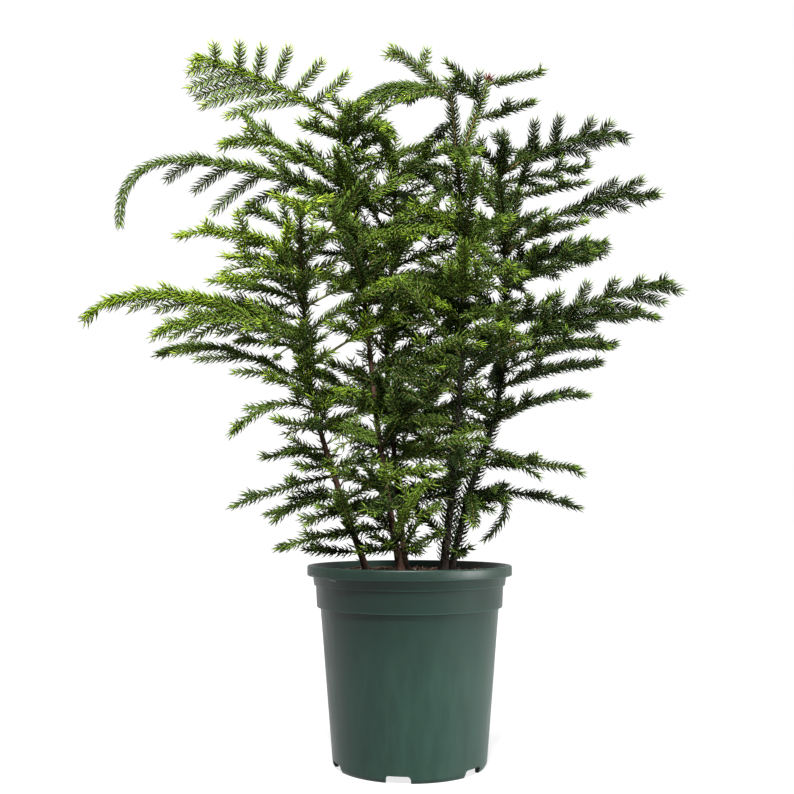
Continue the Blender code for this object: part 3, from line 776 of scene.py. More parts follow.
print("stems:", len(STEMS), "up to", max(stem.line[-1][2] for stem in STEMS), "m")

# %% [markdown]
# A rod is a cylinder cut into rings by bisect_plane. Bending it is a change of coordinates: its
# height becomes the place along the line, and its two other coordinates are measured across the
# line. Young bark is split by shallow upright cracks and carries the raised scars of old needles.

# %% Rods bent along lines, with bark relief
def cut_cone(sides, foot, tip, cuts):
    """An upright cone of unit height with rings cut into it at some heights."""
    bm = bmesh.new()
    radii = {"radius1": foot, "radius2": tip}
    upright = Matrix.Translation((0, 0, 0.5))
    bmesh.ops.create_cone(bm, cap_ends=True, segments=sides, depth=1, matrix=upright, **radii)
    for height in cuts:
        everything = bm.verts[:] + bm.edges[:] + bm.faces[:]
        bmesh.ops.bisect_plane(bm, geom=everything, plane_co=(0, 0, height), plane_no=(0, 0, 1))
    return bm


def rod(sides, rings):
    """An upright cylinder of unit height and radius, cut into rings, as a form."""
    return form_of(cut_cone(sides, 1, 1, [ring / rings for ring in range(1, rings)]))


def steps_of(line):
    """The distances between the points of a line."""
    return np.linalg.norm(np.diff(line, axis=0), axis=1)


def along(line, shares, places=None):
    """The points at shares of the way along a line whose points are evenly spaced or at places."""
    if places is None:
        places = np.linspace(0, 1, len(line))
    return np.stack([np.interp(shares, places, line[:, axis]) for axis in range(3)], axis=1)


def ahead_of(line):
    """The direction of a line of points at each of them."""
    return unit(np.gradient(line, axis=0))


def bent(form, line, radii, flat):
    """A rod laid along a line. flat is a direction that the rod's own Y turns towards."""
    share = form.points[:, 2]
    ahead = unit(along(ahead_of(line), share))
    side = unit(np.cross(flat, ahead))
    up = np.cross(ahead, side)
    radius = np.interp(share, np.linspace(0, 1, len(radii)), radii)[:, None]
    return along(line, share) + (side * form.points[:, :1] + up * form.points[:, 1:2]) * radius


CRACK_DEPTH = 0.09
CRACK_WIDTH = 0.35
SCAR_HEIGHT = 0.10
SCAR_SPACING = 260.0
CRACK_SPACING = (230.0, 230.0, 42.0)


def barked(cloud, line, form):
    """Pushes a bent rod's skin in along cracks and out at scars, as a share of its radius."""
    middle = along(line, form.points[:, 2])
    relief = np.empty(len(cloud))
    for index, point in enumerate(cloud):
        stretched = Vector([value * scale for value, scale in zip(point, CRACK_SPACING)])
        crack = abs(noise.noise(stretched))
        scar = max(0.0, noise.noise(Vector(point) * SCAR_SPACING))
        relief[index] = SCAR_HEIGHT * scar - CRACK_DEPTH * max(0.0, CRACK_WIDTH - crack) / CRACK_WIDTH
    return middle + (cloud - middle) * (1 + relief[:, None])


STEM_RINGS = 150
STEM_ROD = rod(sides=20, rings=STEM_RINGS)
TOWARDS_BACK = np.array((0.0, 1.0, 0.0))


def stem_mesh(stem):
    heights, line = stem_line(stem, STEM_RINGS)
    radii = [stem_radius(stem, height) for height in heights]
    cloud = barked(bent(STEM_ROD, line, radii, TOWARDS_BACK), line, STEM_ROD)
    cloud[:, 2] = np.maximum(cloud[:, 2], SOIL_LINE)
    return joined_mesh("bark_" + stem.name, STEM_ROD, [cloud])


print("one stem rod:", len(STEM_ROD.points), "corners,", len(STEM_ROD.faces), "triangles")

# %% [markdown]
# Bark at the foot is red-brown and nearly black in its cracks. Higher up the same stem is this
# year's growth, smooth and golden olive. One material covers both, because the height group blends
# the two pairs of colours. The bump adds the flakes that are too fine for the mesh. The two stems on
# the right stand in the clump's own shade, and that shade is painted into a darker copy of the bark
# at their foot.

# %% Bark finish
OLD_BARK = ((0.055, 0.026, 0.016, 1), (0.010, 0.005, 0.004, 1))
# Painted shade: darker foot colours for the right stems, which stand in the clump's shade.
PAINTED_SHADE_BARK = ((0.012, 0.007, 0.005, 1), (0.004, 0.002, 0.002, 1))
NEW_BARK = ((0.120, 0.085, 0.024, 1), (0.050, 0.036, 0.012, 1))
BARK_STRETCH = (1, 1, 0.25)
BARK_ROUGHNESS = (0.68, 0.92)
BARK_GRAIN = (900.0, 500.0, 0.5)


def on_right(stem):
    """Whether a stem stands right of the pot's middle."""
    return stem.line[0][0] > 0


def bark(name, golden_from, golden_to, foot_colours=OLD_BARK):
    made, tree, shader = material(name)
    upright = object_vector(tree, BARK_STRETCH)
    foot, top = (
        patchy(tree, upright, scale=420.0, detail=5.0, contrast=2.6, colours=pair)
        for pair in (foot_colours, NEW_BARK)
    )
    golden = band(tree, object_vector(tree), golden_from, golden_to)
    others = {
        "Base Color": mixed(tree, golden, foot["Colour"], top["Colour"]),
        "Specular IOR Level": 0.15,
        "Normal": bump(tree, upright, BARK_GRAIN, strength=0.6, depth=0.0006),
    }
    toned(tree, shader, foot, BARK_ROUGHNESS, others)
    return made


STEM_BARK = bark("stem_bark", 0.46, 0.70)
# The right stems' bark, with the clump's shade painted into its foot colours.
PAINTED_SHADE_STEM_BARK = bark("shaded_stem_bark", 0.46, 0.70, PAINTED_SHADE_BARK)
BOUGH_BARK = bark("bough_bark", 0.30, 0.62)
for stem in STEMS:
    name = "bark_" + stem.name
    finish = PAINTED_SHADE_STEM_BARK if on_right(stem) else STEM_BARK
    add_piece(name, stem_mesh(stem), finish, "bark", [stem.name])
    print(name, MADE[name], "triangles")

# %% [markdown]
# A limb leaves its stem at a height and a bearing, reaches out, climbs by its lift and sinks by its
# droop. Its twigs stand in two rows like the barbs of a feather, longest near the stem, and bend
# forward towards the limb's tip. The first list holds the limbs of the CAD source, 29 of them with
# other numbers that come closer to the photo. The second list holds slimmer limbs that only this
# scene has.

# %% Limbs
class Limb(NamedTuple):
    """A limb on a stem, in metres and degrees.

    roll turns its flat side, vee folds its two rows of twigs, and bend, rise and curl shape its
    line. bough is the bare share at its foot, and twigs stand from first to last. upper and lower
    give the angle and the length of the twigs in each row, and upper also where its row starts.
    """

    name: str
    stem: str
    height: float
    bearing: float
    reach: float
    lift: float
    droop: float
    twigs: int
    twig_length: float
    roll: float = 0
    vee: float = 18
    bend: float = 2
    bough: float = 0
    tint: str = "green"
    upper: tuple = (74, 0.50, 0.10)
    lower: tuple = (40, 1.00)
    rise: float = 1
    curl: float = 0
    first: float = 0.12
    last: float = 0.93


LEFT, FRONT, BACK, RIGHT, FAR_RIGHT = (stem.name for stem in STEMS)
SECOND = "second_leader"
LIMBS = (
    Limb("crest_left", FRONT, 0.750, -158, 0.184, 0.098, 0.042, 8, 0.064, 55, -12,
         bough=0.20, tint="bright", upper=(126, 0.66, 0.10), lower=(30, 1.12), first=0.17),
    Limb("high_left_back", FRONT, 0.681, 155, 0.167, 0.075, -0.045, 3, 0.045, 20,
         upper=(60, 0.3, 0.1)),
    Limb("high_left", FRONT, 0.661, -148, 0.175, 0.098, 0.070, 4, 0.048, 10, 10, bend=3,
         upper=(60, 0.3, 0.6)),
    Limb("long_arch", FRONT, 0.636, -172, 0.276, 0.083, 0.112, 5, 0.056, 45, 0,
         bend=7, bough=0.26, upper=(5, 0.5, 0.1), lower=(44, 0.88), rise=0.55, curl=0.11, last=0.62),
    Limb("bright_left", LEFT, 0.575, -146, 0.149, 0.058, 0.061, 4, 0.042, 15, tint="bright"),
    Limb("mid_left", LEFT, 0.550, -154, 0.100, 0.036, 0.046, 3, 0.046, 25),
    Limb("mid_left_back", LEFT, 0.519, 143, 0.148, 0.071, 0.020, 2, 0.044, -25),
    Limb("low_long", LEFT, 0.482, -175, 0.254, 0.073, 0.060, 7, 0.074, 45, 0,
         bend=5, bough=0.28, tint="bright", upper=(6, 0.4, 0.1), lower=(15, 0.75), rise=0.8),
    Limb("lower_left", LEFT, 0.424, 165, 0.199, 0.105, 0.060, 5, 0.050, -15, -10, bend=3),
    Limb("droop_left", LEFT, 0.396, -156, 0.101, 0.048, 0.083, 2, 0.036, 10),
    Limb("short_left", LEFT, 0.351, 163, 0.078, 0.010, 0.020, 2, 0.030, 5),
    Limb("skirt_left", LEFT, 0.321, -152, 0.125, -0.021, 0.016, 1, 0.034, 0),
    Limb("skirt_left_back", LEFT, 0.301, 153, 0.107, -0.025, 0.000, 1, 0.036, 0),
    Limb("foot_left", LEFT, 0.262, -170, 0.090, -0.024, 0.000, 1, 0.032, 10, 8),
    Limb("crest_second", RIGHT, 0.692, 20, 0.042, 0.117, 0.000, 0, 0.066, 90, -6, bough=0.58),
    Limb("crest_right", RIGHT, 0.777, -154, 0.086, 0.062, 0.012, 2, 0.040, -82, 0, tint="bright",
         upper=(110, 0.8, 0.1), lower=(40, 1.0), last=0.75),
    Limb("back_arch", RIGHT, 0.774, 137, 0.171, 0.146, 0.100, 6, 0.044, -20, -40,
         upper=(14, 1.0, 0.1), lower=(14, 1.0)),
    Limb("crest_back", BACK, 0.728, 120, 0.034, 0.050, 0.000, 4, 0.050, 60, 0),
    Limb("high_right", FAR_RIGHT, 0.703, -13, 0.158, 0.106, 0.065, 6, 0.043, -55, 0,
         bough=0.24, upper=(72, 0.62, 0.08), lower=(12, 0.95)),
    Limb("sweep_right", FAR_RIGHT, 0.600, -25, 0.189, 0.148, 0.102, 5, 0.046, -45, 0,
         bough=0.26, upper=(22, 1.1, 0.3), lower=(20, 0.85)),
    Limb("mid_right", FAR_RIGHT, 0.564, 16, 0.145, 0.118, 0.057, 5, 0.046, -40, 5,
         upper=(24, 0.5, 0.1), lower=(22, 1.2)),
    Limb("long_right", FAR_RIGHT, 0.477, -14, 0.206, 0.136, 0.063, 7, 0.052, -55, 2,
         bough=0.26, upper=(58, 0.55, 0.08), lower=(20, 1.15)),
    Limb("inner_right", FAR_RIGHT, 0.450, 23, 0.170, 0.094, 0.052, 4, 0.048, 10),
    Limb("lower_right", FAR_RIGHT, 0.430, -28, 0.130, 0.063, 0.044, 3, 0.040, -10),
    Limb("thin_right", FAR_RIGHT, 0.396, 10, 0.125, 0.059, 0.032, 2, 0.036, 5, tint="bright"),
    Limb("skirt_right", FAR_RIGHT, 0.358, -37, 0.123, -0.056, -0.028, 2, 0.042, -20, 0),
    Limb("skirt_right_back", FAR_RIGHT, 0.305, 0, 0.135, 0.006, 0.028, 2, 0.036, 10),
    Limb("hanging_front", FAR_RIGHT, 0.297, -91, 0.120, 0.015, 0.050, 1, 0.030, 0),
    Limb("front_sweep", BACK, 0.505, -53, 0.245, 0.116, 0.096, 5, 0.046, -20, 5,
         bough=0.30, tint="bright"),
    Limb("front_star", LEFT, 0.618, -82, 0.150, -0.010, 0.028, 4, 0.042, tint="bright"),
    Limb("front_bright", BACK, 0.574, -78, 0.150, 0.066, 0.060, 3, 0.040, 15, tint="bright"),
    Limb("front_rise", FRONT, 0.423, -46, 0.198, 0.085, 0.036, 3, 0.040, -25, tint="bright"),
    Limb("front_inner", FRONT, 0.364, -57, 0.132, 0.061, 0.016, 3, 0.040, 10),
    Limb("front_low", BACK, 0.302, -48, 0.138, -0.003, -0.036, 1, 0.036, -15),
    Limb("front_foot", FRONT, 0.288, -96, 0.139, 0.000, 0.010, 1, 0.036),
    Limb("front_high", RIGHT, 0.700, -90, 0.140, -0.010, 0.050, 3, 0.030),
    Limb("front_middle", RIGHT, 0.585, -76, 0.140, 0.045, 0.045, 4, 0.038, -10),
    Limb("back_high", BACK, 0.684, 78, 0.165, 0.070, 0.035, 4, 0.050),
    Limb("back_left_high", FRONT, 0.610, 118, 0.200, 0.080, 0.050, 5, 0.052),
    Limb("back_right_high", FAR_RIGHT, 0.640, 66, 0.190, 0.085, 0.050, 5, 0.052),
    Limb("back_middle", BACK, 0.560, 92, 0.220, 0.080, 0.060, 5, 0.054),
    Limb("back_left", LEFT, 0.460, 108, 0.200, 0.075, 0.050, 5, 0.052),
    Limb("back_right", FAR_RIGHT, 0.510, 58, 0.190, 0.070, 0.045, 4, 0.052),
    Limb("back_low", BACK, 0.420, 82, 0.180, 0.030, 0.040, 4, 0.046),
    Limb("back_foot", BACK, 0.310, 100, 0.130, -0.010, 0.020, 2, 0.038),
)

SLIM_LIMBS = (
    Limb("low_long_under", LEFT, 0.484, -160, 0.172, 0.055, 0.066, 5, 0.046, 40,
         upper=(24, 0.8, 0.1), lower=(24, 1.0)),
    Limb("low_long_over", LEFT, 0.500, 162, 0.162, 0.048, 0.007, 5, 0.050, 35,
         upper=(24, 0.5, 0.1), lower=(24, 1.0)),
    Limb("left_light", LEFT, 0.560, -167, 0.089, 0.020, 0.012, 3, 0.034, tint="bright"),
    Limb("left_low_light", LEFT, 0.540, -151, 0.103, 0.027, 0.035, 1, 0.030, tint="bright"),
    Limb("crest_fill_front", FRONT, 0.747, -75, 0.052, 0.030, 0.022, 3, 0.034),
    Limb("crest_fill_right", FRONT, 0.733, -39, 0.063, 0.033, 0.040, 3, 0.034),
    Limb("crest_fill_left", FRONT, 0.730, -135, 0.071, 0.013, 0.010, 3, 0.034),
    Limb("crest_fill_back", FRONT, 0.720, 44, 0.087, 0.161, 0.127, 3, 0.034),
    Limb("high_right_under", FAR_RIGHT, 0.693, -15, 0.114, 0.022, 0.010, 4, 0.036, -20),
    Limb("high_right_second", FAR_RIGHT, 0.672, -35, 0.122, 0.000, 0.002, 1, 0.026),
    Limb("sweep_right_light", FAR_RIGHT, 0.608, -32, 0.112, 0.034, 0.018, 2, 0.034, tint="bright"),
    Limb("mid_right_under", FAR_RIGHT, 0.557, -25, 0.118, 0.058, 0.027, 4, 0.032, -20),
    Limb("mid_right_over", FAR_RIGHT, 0.572, 9, 0.132, 0.093, 0.054, 5, 0.040, -40,
         upper=(28, 0.5, 0.1), lower=(24, 1.1)),
    Limb("long_right_under", FAR_RIGHT, 0.483, -12, 0.186, 0.085, 0.057, 6, 0.046, -20),
    Limb("long_right_low", FAR_RIGHT, 0.470, -35, 0.141, 0.044, 0.049, 4, 0.040, -20),
    Limb("lower_right_under", FAR_RIGHT, 0.430, 20, 0.145, 0.061, 0.023, 2, 0.034),
    Limb("second_leader_top", SECOND, 0.803, -16, 0.072, 0.010, 0.003, 1, 0.020),
    Limb("second_leader_low", SECOND, 0.757, -22, 0.079, 0.003, -0.008, 2, 0.022),
    Limb("second_leader_left", SECOND, 0.782, -145, 0.053, 0.044, 0.010, 3, 0.026, upper=(74, 0.3, 0.9)),
    Limb("crest_fill_middle", FRONT, 0.712, -15, 0.058, 0.040, 0.022, 4, 0.036),
    Limb("foot_left_low", LEFT, 0.235, 157, 0.077, -0.001, -0.003, 1, 0.028),
    Limb("foot_left_front", LEFT, 0.277, -133, 0.068, 0.011, 0.024, 1, 0.028),
    Limb("foot_front_left", FRONT, 0.238, -155, 0.048, 0.000, 0.003, 3, 0.030),
    Limb("foot_right_left", RIGHT, 0.253, -139, 0.061, 0.004, 0.019, 1, 0.022),
    Limb("foot_right_right", FAR_RIGHT, 0.234, -81, 0.041, 0.001, 0.004, 1, 0.018),
    Limb("hanging_right", FAR_RIGHT, 0.297, -20, 0.0135, 0.012, 0.066, 0, 0.024, bend=6, curl=0.78),
    Limb("left_inner", LEFT, 0.589, -164, 0.072, 0.084, 0.056, 3, 0.030),
    Limb("bright_left_under", LEFT, 0.567, -157, 0.076, 0.053, 0.044, 2, 0.030, tint="bright"),
    Limb("crest_left_base", FRONT, 0.720, -133, 0.036, 0.045, 0.028, 1, 0.024),
    Limb("left_inner_over", FRONT, 0.623, -157, 0.077, 0.066, 0.032, 3, 0.032),
    Limb("left_inner_low", FRONT, 0.598, -151, 0.062, 0.063, 0.033, 2, 0.028),
    Limb("window_under", RIGHT, 0.548, -151, 0.062, 0.049, 0.031, 2, 0.028),
    Limb("foot_left_droop", LEFT, 0.296, -159, 0.082, 0.026, 0.056, 2, 0.028),
    Limb("hanging_base", FAR_RIGHT, 0.290, -50, 0.040, 0.000, 0.010, 2, 0.024),
    Limb("high_left_inner", FRONT, 0.661, -156, 0.074, 0.040, -0.020, 2, 0.030),
    Limb("high_left_under", FRONT, 0.650, 165, 0.115, 0.033, -0.038, 4, 0.034),
    Limb("lower_left_under", LEFT, 0.406, -151, 0.063, 0.058, 0.038, 2, 0.030),
    Limb("long_right_base", FAR_RIGHT, 0.503, -27, 0.066, 0.043, 0.010, 3, 0.034),
    Limb("mid_right_base", FAR_RIGHT, 0.585, -45, 0.057, 0.019, 0.011, 3, 0.034),
    Limb("thin_right_under", FAR_RIGHT, 0.384, -28, 0.085, 0.062, 0.033, 2, 0.030),
    Limb("heart_left_mid", FRONT, 0.477, -131, 0.066, 0.036, 0.023, 3, 0.030),
    Limb("second_leader_stub", SECOND, 0.778, -153, 0.046, 0.032, 0.011, 3, 0.030),
    Limb("stem_front_shoulder", FRONT, 0.700, -59, 0.047, -0.004, 0.000, 3, 0.030),
    Limb("low_long_base", LEFT, 0.470, -140, 0.080, 0.034, 0.026, 3, 0.034),
    Limb("low_long_back", LEFT, 0.466, 150, 0.110, 0.034, 0.016, 3, 0.036),
    Limb("foot_middle", FRONT, 0.262, -165, 0.075, 0.000, 0.012, 1, 0.030),
    Limb("foot_inner", BACK, 0.238, -60, 0.040, 0.000, 0.006, 1, 0.018),
    Limb("far_crest", FAR_RIGHT, 0.706, -130, 0.050, 0.040, 0.015, 2, 0.034),
    Limb("far_crest_right", FAR_RIGHT, 0.700, 30, 0.060, 0.070, 0.020, 3, 0.036),
    Limb("far_upright", FAR_RIGHT, 0.640, 10, 0.030, 0.070, 0.005, 1, 0.026),
    Limb("far_upright_low", FAR_RIGHT, 0.600, -60, 0.036, 0.080, 0.005, 1, 0.026),
    Limb("right_upright", FAR_RIGHT, 0.700, -60, 0.014, 0.064, 0.002, 1, 0.022),
    Limb("skirt_left_base", LEFT, 0.330, -130, 0.050, 0.004, 0.006, 2, 0.028),
    Limb("left_low_front", LEFT, 0.380, -130, 0.068, -0.008, -0.009, 1, 0.028),
    Limb("left_low_back", LEFT, 0.337, 141, 0.079, 0.038, 0.027, 0, 0.022),
    Limb("heart_low_left", FRONT, 0.303, -141, 0.078, 0.036, 0.015, 3, 0.030),
    Limb("heart_left_foot", FRONT, 0.271, -150, 0.099, 0.037, 0.024, 3, 0.028),
    Limb("foot_between", FRONT, 0.237, -122, 0.047, 0.029, 0.014, 1, 0.022),
    Limb("heart_low_cross", LEFT, 0.330, -20, 0.055, 0.016, 0.010, 2, 0.034),
    Limb("left_front_shoot", LEFT, 0.530, -85, 0.050, 0.020, 0.010, 3, 0.036),
    Limb("left_front_low", LEFT, 0.440, -100, 0.050, 0.020, 0.010, 3, 0.036),
    Limb("left_front_foot", LEFT, 0.392, -70, 0.045, 0.016, 0.010, 2, 0.032),
    Limb("right_front_mid", FAR_RIGHT, 0.392, -120, 0.055, 0.018, 0.008, 3, 0.034),
    Limb("skirt_right_base", FAR_RIGHT, 0.335, -35, 0.055, 0.008, 0.012, 3, 0.030),
    Limb("skirt_right_low", FAR_RIGHT, 0.296, -30, 0.050, 0.000, 0.004, 3, 0.028),
    Limb("star_left", LEFT, 0.285, -64, 0.133, 0.012, 0.013, 1, 0.030),
)

CURL_BEND = 12


def level(angle):
    """The level direction at an angle from X."""
    return Vector((math.cos(angle), math.sin(angle), 0))


def limb_point(limb, share):
    """The point at a share of the way out along a limb's line, measured from its stem's middle."""
    reach = limb.reach * (share - limb.curl * share**CURL_BEND) / (1 - limb.curl)
    outward = level(math.radians(limb.bearing)) * reach
    rise = limb.lift * share**limb.rise - limb.droop * share**limb.bend
    return curve_point(STEM_NAMED[limb.stem].line, limb.height) + outward + Vector((0, 0, rise))


def limb_length(limb):
    return (limb_point(limb, 1) - limb_point(limb, 0)).length


SECOND_LEADER = next(limb for limb in LIMBS if limb.name == "crest_second")
second_line = tuple(tuple(limb_point(SECOND_LEADER, share)) for share in (0, 0.33, 0.67, 1))
STEM_NAMED[SECOND] = Stem(RIGHT, second_line, foot=0.002, tip=0.001)


def limb_line(limb, start, end, count):
    shares = [start + (end - start) * i / count for i in range(count + 1)]
    return np.array([limb_point(limb, share) for share in shares])


longest = max(limb_length(limb) for limb in LIMBS)
print("limbs:", len(LIMBS), "and", len(SLIM_LIMBS), "slim ones, longest", round(longest, 3))

# %% [markdown]
# The clump's heart is dense, and sky shows through it in a few places only. Both are described as
# the camera sees them: a point is moved along its line of sight onto the upright plane through the
# pot's middle, and is compared there. The heart is a list of heights, each with how far the dense
# part reaches to the left and to the right. A window is an ellipse, given by its middle and its two
# half sizes.

# %% Camera place, heart and sky windows
CAMERA_PLACE = Vector((-0.0144, -1.1, 0.2762))
CAMERA_TILT = math.radians(7.2)
CAMERA_LENS = 42.56
SENSOR_WIDTH = 36
HEART = (
    (0.242, -0.050, 0.072),
    (0.271, -0.088, 0.084),
    (0.341, -0.122, 0.104),
    (0.388, -0.145, 0.118),
    (0.435, -0.160, 0.132),
    (0.484, -0.172, 0.138),
    (0.532, -0.196, 0.145),
    (0.581, -0.191, 0.146),
    (0.631, -0.162, 0.140),
    (0.681, -0.132, 0.135),
    (0.719, -0.121, 0.111),
    (0.765, -0.095, 0.090),
)
SKY_WINDOWS = (
    (0.004, 0.755, 0.036, 0.030),
    (-0.095, 0.622, 0.012, 0.013),
    (-0.084, 0.577, 0.008, 0.009),
    (-0.100, 0.532, 0.021, 0.016),
    (-0.084, 0.477, 0.030, 0.013),
    (-0.148, 0.470, 0.016, 0.011),
    (0.010, 0.600, 0.015, 0.009),
    (-0.028, 0.636, 0.018, 0.011),
    (0.038, 0.646, 0.014, 0.006),
    (0.101, 0.641, 0.009, 0.012),
    (0.148, 0.645, 0.014, 0.008),
    (0.017, 0.260, 0.014, 0.009),
    (-0.076, 0.438, 0.011, 0.007),
    (-0.203, 0.569, 0.024, 0.007),
)


def seen(points):
    """Points moved along the camera's lines of sight onto the plane y = 0."""
    points = np.atleast_2d(points)
    eye = np.array(CAMERA_PLACE)
    scale = -eye[1] / (points[:, 1] - eye[1])
    return eye[0] + (points[:, 0] - eye[0]) * scale, eye[2] + (points[:, 2] - eye[2]) * scale


def in_heart(points):
    x, z = seen(points)
    heights, lefts, rights = (np.array(column) for column in zip(*HEART))
    between = (z > heights[0]) & (z < heights[-1])
    return between & (x > np.interp(z, heights, lefts)) & (x < np.interp(z, heights, rights))


def in_window(points, part=1.0):
    """Whether points fall in the middle part of a sky window, each an ellipse (x, z, half sizes)."""
    x, z = seen(points)
    hit = np.zeros(len(x), bool)
    for middle_x, middle_z, half_x, half_z in SKY_WINDOWS:
        across = (x - middle_x) / (half_x * part)
        upward = (z - middle_z) / (half_z * part)
        hit |= across**2 + upward**2 < 1
    return hit


print("sky windows:", len(SKY_WINDOWS), "in a heart", HEART[-1][0] - HEART[0][0], "m tall")

# %% [markdown]
# The young pine makes a ring of short side shoots every few centimetres of stem. They fill the
# heart of the clump and are far too many to list, so a seeded rule deals them out as more limbs of
# the same kind. A shoot is kept where it stays inside the heart and clear of the sky windows.

# %% Shoots in rings on the stems
TIER = 0.040
TIER_START = 0.250
TIER_END = 0.020
TIER_SHIFT = 0.5
TIER_UNEVEN = (0.85, 1.15)
SHOOTS_IN_RING = 5
BEARING_SPREAD = 50
SHOOT_REACH = (0.060, 0.145)
SHOOT_CLIMB, SHOOT_DROOP = (0.05, 0.85), (0.05, 0.40)
SHOOT_ROLL = 60
SHOOT_TWIG = 0.040
TWIG_SPACE = 0.050
THIN_BELOW = 0.34
THINNED_SHARE = 0.5
JUDGED_FROM, JUDGED_TO, JUDGED_STEPS = 0.4, 1.08, 6
WINDOW_TOUCHES = 2


def ring_shoots(stem):
    """The short limbs of a stem's rings that stay in the heart and out of the sky windows."""
    chance = random.Random(stem.name)
    height = TIER_START
    tier = 0
    while height < stem.line[-1][2] - TIER_END:
        first = 360 * chance.random()
        for index in range(SHOOTS_IN_RING):
            bearing = first + 360 * index / SHOOTS_IN_RING + BEARING_SPREAD * (chance.random() - 0.5)
            reach = chance.uniform(*SHOOT_REACH)
            climb = reach * chance.uniform(*SHOOT_CLIMB)
            shoot = Limb(
                f"{stem.name}_{tier}_{index}",
                stem.name,
                height + TIER * TIER_SHIFT * (chance.random() - 0.5),
                bearing,
                reach,
                climb,
                reach * chance.uniform(*SHOOT_DROOP),
                round(reach / TWIG_SPACE),
                SHOOT_TWIG,
                chance.uniform(-SHOOT_ROLL, SHOOT_ROLL),
                tint="inner",
            )
            outer = limb_line(shoot, JUDGED_FROM, JUDGED_TO, JUDGED_STEPS)
            thinned = shoot.height < THIN_BELOW and chance.random() < THINNED_SHARE
            if in_heart(outer).all() and in_window(outer).sum() < WINDOW_TOUCHES and not thinned:
                yield shoot
        height += TIER * chance.uniform(*TIER_UNEVEN)
        tier += 1


SHOOTS = [shoot for stem in STEMS for shoot in ring_shoots(stem)]
print("shoots dealt out by the rule:", len(SHOOTS))

# %% [markdown]
# Now every limb is carried to its twigs by a seeded rule like the source's, with numbers of its own.
# It sets half as many again as the lists state, because these twigs can be slimmer than the solids'.
# The result is one plain list of sprays. A spray is a line, the direction square to its flat side,
# its thickness and a tone between dark and light.

# %% Sprays
CORE_FOOT, CORE_TIP = 0.0018, 0.0009
TWIG_FOOT, TWIG_TIP = 0.0012, 0.0007
TWIG_GROWTH = 1.5
CORE_FILL = 1.3
FILL = {"bright": 1.0, "green": 1.0, "inner": 0.56}
FAR_RIGHT_FILL = 1.25
TWIG_ANGLE = 46
ANGLE_SPREAD = 10
ROW_SPREAD = 12
PLACE_SPREAD = 0.5
ROW_END = 0.4
TWIG_SWEEP = 0.08
TWIG_LIFT = 0.04
TWIG_SAG = 0.38
CLOSING = (1.1, 0.65)
ROW_WEIGHT = 1.5
TWIG_BOW = 0.10
TWIG_FULL, TWIG_TAPER = 1.75, 1.45
TWIG_MOST = 1.3
LENGTH_SPREAD = 0.20
SHADE_SPREAD = 0.16
CORE_START = 0.03
CORE_BARE, TWIG_BARE = 0.006, 0.003
TIP_NEEDLES = 0.006
TWIG_MARGIN = 0.04
NEXT_SHARE = 0.02
LINE_STEP = 0.004
UP = Vector((0, 0, 1))


class Spray(NamedTuple):
    """A twig with needles. Its line runs from foot to tip in even steps."""

    owner: str
    line: np.ndarray
    flat: np.ndarray
    foot: float
    tip: float
    bare: float = 0
    tone: float = 0
    young: float = 0
    fill: float = 1


def steps_for(length):
    return max(4, round(length / LINE_STEP))


def twig_sprays(limb, tone, young):
    """A limb's twigs in two rows, longest near its foot, by a seeded rule."""
    chance = random.Random(limb.name)
    first = limb.first + TWIG_MARGIN * (limb.bough > 0)
    whole = limb_length(limb)
    count = round(limb.twigs * TWIG_GROWTH)
    for index in range(count):
        place = (index + PLACE_SPREAD * chance.random()) / (count - ROW_END)
        share = first + (limb.last - first) * place
        root = limb_point(limb, share)
        ahead = (limb_point(limb, share + NEXT_SHARE) - root).normalized()
        side = UP.cross(ahead).normalized()
        up = ahead.cross(side).normalized()
        row = 1 if index % 2 else -1
        turn = math.radians(limb.roll + row * (90 - limb.vee + ROW_SPREAD * (chance.random() - 0.5)))
        out = up * math.cos(turn) - side * math.sin(turn)
        size = min(TWIG_MOST, TWIG_FULL - TWIG_TAPER * share) + LENGTH_SPREAD * (chance.random() - 0.5)
        if out.z > 0:
            row_angle, row_size, row_start = limb.upper
            if share < row_start:
                continue
        else:
            row_angle, row_size = limb.lower
        row_angle *= CLOSING[0] - CLOSING[1] * share
        weight = min(1.0, ROW_WEIGHT * abs(out.z))
        gravity = TWIG_LIFT if out.z > 0 else TWIG_SAG * out.z
        length = limb.twig_length * size * (1 + (row_size - 1) * weight)
        length = min(length, (1 - share) * whole)
        angle = TWIG_ANGLE + (row_angle - TWIG_ANGLE) * weight
        angle = math.radians(angle + ANGLE_SPREAD * (chance.random() - 0.5))
        heading = ahead * math.cos(angle) + out * math.sin(angle)
        flat = heading.cross(ahead).normalized()
        bow = flat * TWIG_BOW * (chance.random() - 0.5) * 2
        steps = steps_for(length)
        line = [
            root + length * (heading * u + (ahead * TWIG_SWEEP + UP * gravity + bow) * u * u)
            for u in (i / steps for i in range(steps + 1))
        ]
        shade = tone + SHADE_SPREAD * (chance.random() - 0.5)
        fill = FILL[limb.tint] * (FAR_RIGHT_FILL if limb.stem == FAR_RIGHT else 1)
        looks = (TWIG_BARE, shade, young, fill)
        owner = STEM_NAMED[limb.stem].name
        yield Spray(owner, np.array(line), np.array(flat), TWIG_FOOT, TWIG_TIP, *looks)


def evened(line):
    """The same line with its points spaced evenly along it."""
    steps = steps_of(line)
    places = np.concatenate([[0], np.cumsum(steps)]) / steps.sum()
    return along(line, np.linspace(0, 1, len(line)), places)


